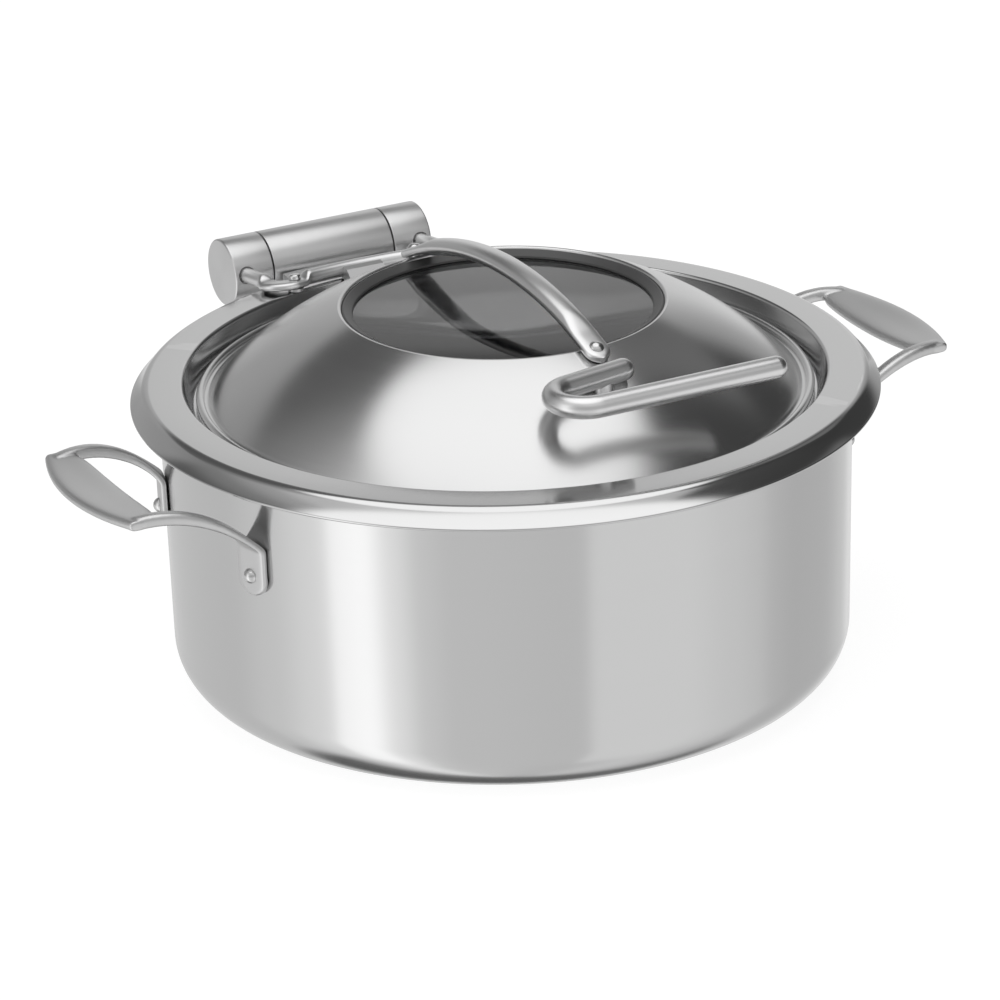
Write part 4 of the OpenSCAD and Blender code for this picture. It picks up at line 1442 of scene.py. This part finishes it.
    def build(self) -> None:
        """Builds and dresses the lid's own pieces."""
        steel = BrushedSteel("lid steel", (0.68, 0.68, 0.68), 0.22, 0.7).build()
        rubber = Moulded("gasket silicone", (0.08, 0.08, 0.08), 0.35).build()
        glass = ClearGlass("window glass").build()
        rod = SatinSteel("rod steel", (0.79, 0.79, 0.79), 0.3, depth=0.003).build()
        head = SatinSteel("lid rivet steel", (0.7, 0.7, 0.7), 0.22, depth=0.004).build()
        clamp = SatinSteel("clamp steel", (0.6, 0.6, 0.6), 0.32).build()
        screw = SatinSteel("lid screw steel", (0.5, 0.5, 0.51), 0.3).build()
        self.seat(self.shell(), steel, "lid_steel", "lid_dome")
        self.seat(self.gasket_ring(), rubber, "gasket_rubber", "window_gasket")
        self.seat(self.pane(), glass, "window_glass", "window_glass")
        self.seat(self.arch_handle(), rod, "rod_satin", "arch_handle")
        self.seat(self.arch_rivets(), head, "rivet_steel", "arch_rivets")
        self.seat(self.grip_rod(), rod, "rod_satin", "grip_rod")
        self.dress("window_clamp", clamp)
        self.dress("grip_post", rod)
        self.dress("grip_screw", screw)


# ---------------------------------------------------------------- hinge


@dataclass
class LidHinge(SubAssembly):
    """The moving half of the hinge: caps, shaft and the yoke that carries the lid."""

    axis_y: float = 223.7
    axis_z: float = 166.596
    barrel: float = 19.2
    half: float = 61.7
    centre_half: float = 37.4
    cap_gap: float = 0.8
    shaft: float = 6.0
    rod: float = 4.25
    leg_x: float = 54.7
    slope: float = 8.4
    bar: float = 176.9
    bend: float = 10.0
    lug_w: float = 12.4
    lug_t: float = 5.0
    lug_in: float = 8.4
    lug_out: float = 2.0
    lug_flat: float = 9.2
    lug_fade: float = 4.4
    cap_depth: float = 4.0
    fit: float = 0.08
    rivet_in: float = 13.2
    rivet_head: float = 3.4
    rivet_h: float = 3.0
    rivet_shank: float = 2.1
    gap: float = 0.1
    body: Body = Body.LID

    @property
    def reach(self) -> float:
        """Distance from the hinge axis to the lid's axis along the yoke's slope."""
        return self.axis_y / math.cos(math.radians(self.slope))

    @property
    def sink(self) -> float:
        """How far a lug's middle lies below the rod's middle."""
        return self.rod - self.lug_t / 2

    @property
    def rivet_angle(self) -> float:
        """Angle of the lugs' rivets about the lid's axis, in radians."""
        return math.asin((self.leg_x - self.rivet_in) / self.bar)

    def yoke_frame(self) -> Matrix:
        """Frame of the yoke: on the hinge axis, y back along its slope."""
        return Matrix.Translation((0, self.axis_y, self.axis_z)) @ Matrix.Rotation(
            -math.radians(self.slope), 4, "X")

    def cap(self, side: int) -> bpy.types.Object:
        """Builds one end cap with the countersunk hole for its yoke leg.

        Args:
            side: -1 for the left cap, 1 for the right.

        Returns:
            The cap.
        """
        r, x0 = self.barrel, self.centre_half + self.cap_gap
        bore, floor = self.shaft + self.fit, self.half - self.cap_depth
        profile = rounded([
            (bore, floor, 0), (bore, x0, 0.2), (r, x0, 0.5), (r, self.half, 1.1),
            (12, self.half, 0),
        ], 6) + [(0.0, self.half), (0.0, floor)]
        place = Matrix.Translation((0, self.axis_y, self.axis_z)) @ Matrix.Rotation(
            side * math.pi / 2, 4, "Y")
        name = "cap_left" if side < 0 else "cap_right"
        piece = Maker.revolve(name, profile, BARREL_STEPS, place=place)
        bm = bmesh.new()
        hole = [
            (0, 7), (self.rod + self.fit, 7), (self.rod + self.fit, r - 1.6),
            (self.rod + 0.75, r - 0.9), (self.rod + 0.95, r + 3), (0, r + 3),
        ]
        aim = self.yoke_frame() @ Matrix.Translation((side * self.leg_x, 0, 0)) @ Matrix.Rotation(
            math.pi / 2, 4, "X")
        Maker.revolve_into(bm, hole, aim, 48)
        cutter = Maker.from_bmesh("cutter", bm)
        cut = piece.modifiers.new("hole", "BOOLEAN")
        cut.operation = "DIFFERENCE"
        cut.solver = "EXACT"
        cut.object = cutter
        Maker.applied(piece)
        piece.data.set_sharp_from_angle(angle=math.radians(30))
        bpy.data.objects.remove(cutter)
        return piece

    def stations(self) -> list[tuple[float, float, float]]:
        """Middle line of the yoke, in the yoke's frame.

        Returns:
            Place x, place y and direction in degrees of each station.
        """
        bend_x, far = self.leg_x - self.bend, self.bar + self.bend
        bend_d = self.reach - math.sqrt(far**2 - bend_x**2)
        half = math.degrees(math.asin(bend_x / far))
        root = self.shaft + 0.8
        right = [(self.leg_x, -mix(root, bend_d - 0.2, i / 24), -90.0) for i in range(25)]
        for i in range(29):
            a = math.radians(-(90 + half) * i / 28)
            right.append((bend_x + self.bend * math.cos(a), -bend_d + self.bend * math.sin(a),
                math.degrees(a) - 90))
        for i in range(1, 32):
            a = math.radians(90 - half * (1 - i / 32))
            right.append((self.bar * math.cos(a), -self.reach + self.bar * math.sin(a),
                math.degrees(a) + 90))
        left = [(-x, y, 360 - g) for x, y, g in reversed(right)]
        return right + [(0.0, self.bar - self.reach, 180.0)] + left

    def yoke(self) -> bpy.types.Object:
        """Builds the bent rod with its two pressed lugs.

        Returns:
            The yoke.
        """
        lug = Vector((
            self.leg_x - self.lug_in,
            self.bar * math.cos(self.rivet_angle) + self.lug_out - self.reach,
        ))
        rings = []
        for x, y, angle in self.stations():
            k = 1 - ease(((Vector((abs(x), y)) - lug).length - self.lug_flat) / self.lug_fade)
            g = math.radians(angle)
            ring = section(
                Vector((x, y, -self.sink * k)), Vector((-math.sin(g), math.cos(g), 0)),
                Vector((0, 0, 1)), mix(self.rod, self.lug_w / 2, k),
                mix(self.rod, self.lug_t / 2, k), mix(2, 2.8, k), 40,
            )
            rings.append([self.yoke_frame() @ p for p in ring])
        bm = bmesh.new()
        Maker.skin_into(bm, rings)
        return Maker.from_bmesh("yoke", bm, 50)

    def rivets(self) -> bpy.types.Object:
        """Builds the lugs' rivets: upright drum heads with a rounded top edge.

        Returns:
            Both rivets as one object.
        """
        base = self.lug_t / 2 + self.gap
        low, top = -self.lug_t / 2 - self.gap - 0.3, base + self.rivet_h
        profile = [(0.0, low)] + rounded([
            (1.0, low, 0), (self.rivet_shank, low, 0.2), (self.rivet_shank, base, 0),
            (self.rivet_head, base, 0.2), (self.rivet_head, top - 0.35, 1.5), (0.8, top, 0),
        ], 8) + [(0.0, top)]
        bm = bmesh.new()
        for side in (-1, 1):
            place = (
                self.yoke_frame() @ Matrix.Translation((0, -self.reach, -self.sink))
                @ Matrix.Rotation(-side * self.rivet_angle, 4, "Z")
                @ Matrix.Translation((0, self.bar, 0))
            )
            Maker.revolve_into(bm, profile, place, RIVET_STEPS)
        return Maker.from_bmesh("lug_rivets", bm)

    def build(self) -> None:
        """Builds and dresses the hinge's moving half."""
        axis = (0.0, self.axis_y * MM, self.axis_z * MM)
        barrel = BrushedSteel("cap steel", (0.7, 0.7, 0.7), 0.33, 0.5, grain=0.04,
            turned=Turned.CROSSWISE, centre=axis).build()
        rod = SatinSteel("yoke steel", (0.76, 0.76, 0.76), 0.3, depth=0.003).build()
        head = SatinSteel("yoke rivet steel", (0.7, 0.7, 0.7), 0.22, depth=0.004).build()
        post = SatinSteel("post steel", (0.5, 0.5, 0.5), 0.34, depth=0.003).build()
        shaft = SatinSteel("shaft steel", (0.55, 0.55, 0.56), 0.25).build()
        polymer = Moulded("washer polymer", (0.03, 0.03, 0.03)).build()
        screw = SatinSteel("grub screw steel", (0.3, 0.3, 0.31), 0.35).build()
        self.seat(self.cap(-1), barrel, "barrel_steel", "left_hinge_cap")
        self.seat(self.cap(1), barrel, "barrel_steel", "right_hinge_cap")
        self.seat(self.yoke(), rod, "rod_satin", "hinge_yoke")
        self.seat(self.rivets(), head, "rivet_steel", "yoke_rivets")
        self.dress("yoke_posts", post)
        self.dress("hinge_shaft", shaft)
        self.dress("thrust_washers", polymer)
        self.dress("cap_screws", screw)


# ---------------------------------------------------------------- studio


@dataclass
class Studio:
    """Floor, world light and camera."""

    lens: float = 186.83
    distance: float = 2.7913
    azimuth: float = -27.297
    elevation: float = 22.292
    roll: float = 1.699
    aim: tuple[float, float, float] = (-0.00518, 0.0, 0.09413)
    low: Sequence[tuple[float, float]] = field(default_factory=lambda: (
        (-180, 0.86), (-137, 0.86), (-117, 0.99), (-97, 1.2), (-92, 1.3), (-89, 1.72),
        (-77, 1.82), (-67, 1.32), (-57, 1.01), (-47, 0.92), (-4, 0.88), (1, 1.1), (33, 1.1),
        (53, 1.01), (63, 0.95), (73, 0.81), (83, 0.75), (103, 0.75), (123, 0.88), (133, 1.06),
        (150, 0.97), (180, 0.86),
    ))
    nadir: Sequence[tuple[float, float]] = field(default_factory=lambda: (
        (-180, 0.16), (-122, 0.2), (-96, 0.9), (-77, 1.5), (-57, 0.95), (-4, 0.85), (33, 1.0),
        (63, 0.9), (86, 0.7), (112, 0.2), (180, 0.16),
    ))
    rim: Sequence[tuple[float, float]] = field(default_factory=lambda: (
        (-180, 0.52), (-160, 0.46), (-141, 0.36), (-114, 0.56), (-98, 0.92), (-90, 1.45),
        (-80, 1.5), (-66, 0.9), (-57, 0.6), (-40, 0.56), (-27, 0.55), (2, 0.61), (31, 0.58),
        (43, 0.55), (50, 0.1), (59, 0.06), (118, 0.07), (128, 0.5), (140, 0.92), (155, 0.9),
        (168, 0.62), (180, 0.5),
    ))
    upper: Sequence[tuple[float, float]] = field(default_factory=lambda: (
        (-180, 0.13), (-158, 0.16), (-140, 0.32), (-120, 0.54), (-106, 0.8), (-76, 0.95),
        (-57, 0.75), (-30, 0.85), (0, 0.9), (26, 0.85), (44, 0.75), (51, 0.1), (98, 0.07),
        (108, 0.25), (120, 0.22), (130, 0.12), (137, 0.4), (152, 0.38), (168, 0.16), (180, 0.13),
    ))
    zenith: float = 1.64
    low_from: tuple[float, float] = (-60, -50)
    rim_from: tuple[float, float] = (-12, -3)
    upper_from: tuple[float, float] = (25, 31)
    zenith_from: tuple[float, float] = (55, 61)
    gain: float = 0.8
    floor_half: float = 6000.0
    floor_drop: float = 0.4
    paper: float = 0.3
    paper_glow: float = 0.86

    def ramp(
        self, tree: bpy.types.NodeTree, turn: bpy.types.NodeSocket,
        marks: Sequence[tuple[float, float]],
    ) -> bpy.types.NodeSocket:
        """A light level that changes with the compass direction.

        Args:
            tree: The world's tree.
            turn: Direction as 0 to 1.
            marks: Direction in degrees and light level, in order.

        Returns:
            Socket of the light level.
        """
        node = tree.nodes.new("ShaderNodeValToRGB")
        node.color_ramp.interpolation = "EASE"
        spots = node.color_ramp.elements
        while len(spots) < len(marks):
            spots.new(0.5)
        for spot, (angle, _) in zip(spots, marks):
            spot.position = (angle + 180) / 360
        # Levels go in at half scale, so that none is above 1, once every spot has its place.
        for spot, (_, level) in zip(node.color_ramp.elements, marks):
            spot.color = (level / 2, level / 2, level / 2, 1)
        tree.links.new(turn, node.inputs[0])
        return Effects.maths(tree, "MULTIPLY", node.outputs[0], 2.0)

    def world(self) -> None:
        """Lights the scene with a studio of soft boxes and dark cards all round."""
        world = bpy.data.worlds.new("studio")
        bpy.context.scene.world = world
        world.use_nodes = True
        tree = world.node_tree
        tree.nodes.clear()
        out = tree.nodes.new("ShaderNodeOutputWorld")
        split = tree.nodes.new("ShaderNodeSeparateXYZ")
        tree.links.new(tree.nodes.new("ShaderNodeTexCoord").outputs["Generated"], split.inputs[0])
        x, y, z = split.outputs
        turn = Effects.maths(tree, "ARCTAN2", x, Effects.maths(tree, "MULTIPLY", y, -1.0))
        turn = Effects.maths(tree, "ADD", Effects.maths(tree, "DIVIDE", turn, 2 * math.pi), 0.5)
        nadir, low, rim, upper = (
            self.ramp(tree, turn, marks) for marks in (self.nadir, self.low, self.rim, self.upper))

        def between(a: float, b: float) -> bpy.types.NodeSocket:
            """Mask that rises as the direction climbs.

            Args:
                a: Angle over the horizon where it starts, in degrees.
                b: Angle where it is full, in degrees.

            Returns:
                Socket of the mask.
            """
            node = tree.nodes.new("ShaderNodeMapRange")
            node.interpolation_type = "SMOOTHSTEP"
            node.inputs["From Min"].default_value = math.sin(math.radians(a))
            node.inputs["From Max"].default_value = math.sin(math.radians(b))
            tree.links.new(z, node.inputs["Value"])
            return node.outputs[0]

        def over(mask: bpy.types.NodeSocket, under: object, top: object) -> bpy.types.NodeSocket:
            """Blend of two light levels by a mask.

            Args:
                mask: Socket of the mask.
                under: Level where the mask is 0.
                top: Level where it is 1.

            Returns:
                Socket of the level.
            """
            keep = Effects.maths(tree, "SUBTRACT", 1.0, mask)
            return Effects.maths(tree, "ADD", Effects.maths(tree, "MULTIPLY", keep, under),
                Effects.maths(tree, "MULTIPLY", mask, top))

        level = nadir
        for edges, top in (
            (self.low_from, low), (self.rim_from, rim), (self.upper_from, upper),
            (self.zenith_from, self.zenith),
        ):
            level = over(between(*edges), level, top)
        path = tree.nodes.new("ShaderNodeLightPath")
        level = Effects.maths(tree, "MULTIPLY", level, self.gain)
        level = over(path.outputs["Is Camera Ray"], level, 1.0)
        glow = tree.nodes.new("ShaderNodeBackground")
        glow.inputs["Color"].default_value = (1, 1, 1, 1)
        tree.links.new(level, glow.inputs["Strength"])
        tree.links.new(glow.outputs[0], out.inputs[0])

    def floor(self) -> None:
        """Lays a plain white floor that keeps a faint shadow."""
        bm = bmesh.new()
        bmesh.ops.create_grid(bm, x_segments=1, y_segments=1, size=self.floor_half)
        bmesh.ops.translate(bm, vec=(0, 0, -self.floor_drop), verts=bm.verts)
        floor = Maker.from_bmesh("floor", bm)
        material = bpy.data.materials.new("floor white")
        material.use_nodes = True
        tree = material.node_tree
        tree.nodes.clear()
        out = tree.nodes.new("ShaderNodeOutputMaterial")
        paper = tree.nodes.new("ShaderNodeBsdfDiffuse")
        paper.inputs[0].default_value = (self.paper, self.paper, self.paper, 1)
        glow = tree.nodes.new("ShaderNodeEmission")
        path = tree.nodes.new("ShaderNodeLightPath")
        seen = Effects.maths(
            tree, "MAXIMUM", path.outputs["Is Camera Ray"], path.outputs["Is Transmission Ray"])
        strength = Effects.maths(tree, "MULTIPLY", seen, self.paper_glow)
        tree.links.new(strength, glow.inputs["Strength"])
        add = tree.nodes.new("ShaderNodeAddShader")
        tree.links.new(paper.outputs[0], add.inputs[0])
        tree.links.new(glow.outputs[0], add.inputs[1])
        tree.links.new(add.outputs[0], out.inputs[0])
        floor.data.materials.append(material)
        floor.visible_glossy = False

    def camera(self) -> None:
        """Stands the camera in front and to the left, a little above the lid."""
        data = bpy.data.cameras.new("camera")
        data.sensor_width = 36.0
        data.lens = self.lens
        cam = bpy.data.objects.new("camera", data)
        bpy.context.scene.collection.objects.link(cam)
        a, e, roll = (math.radians(v) for v in (self.azimuth, self.elevation, self.roll))
        back = Vector((math.sin(a) * math.cos(e), -math.cos(a) * math.cos(e), math.sin(e)))
        right = Vector((math.cos(a), math.sin(a), 0))
        up = back.cross(right)
        tilted_right = right * math.cos(roll) + up * math.sin(-roll)
        tilted_up = up * math.cos(roll) - right * math.sin(-roll)
        spot = Vector(self.aim) + back * self.distance
        turn = Matrix((tilted_right, tilted_up, back)).transposed()
        cam.matrix_world = Matrix.Translation(spot) @ turn.to_4x4()
        bpy.context.scene.camera = cam

    def build(self) -> None:
        """Sets the stage."""
        bpy.context.scene.view_settings.view_transform = "Standard"
        self.world()
        self.floor()
        self.camera()
        LOG.info("studio set")


def main() -> None:
    """Builds the kettle and its studio."""
    logging.basicConfig(level=logging.INFO, format="%(name)s: %(message)s")
    Studio().build()
    for assembly in (Pot(), Collar(), Lid(), LidHinge()):
        assembly.build()


if __name__ == "__main__":
    main()
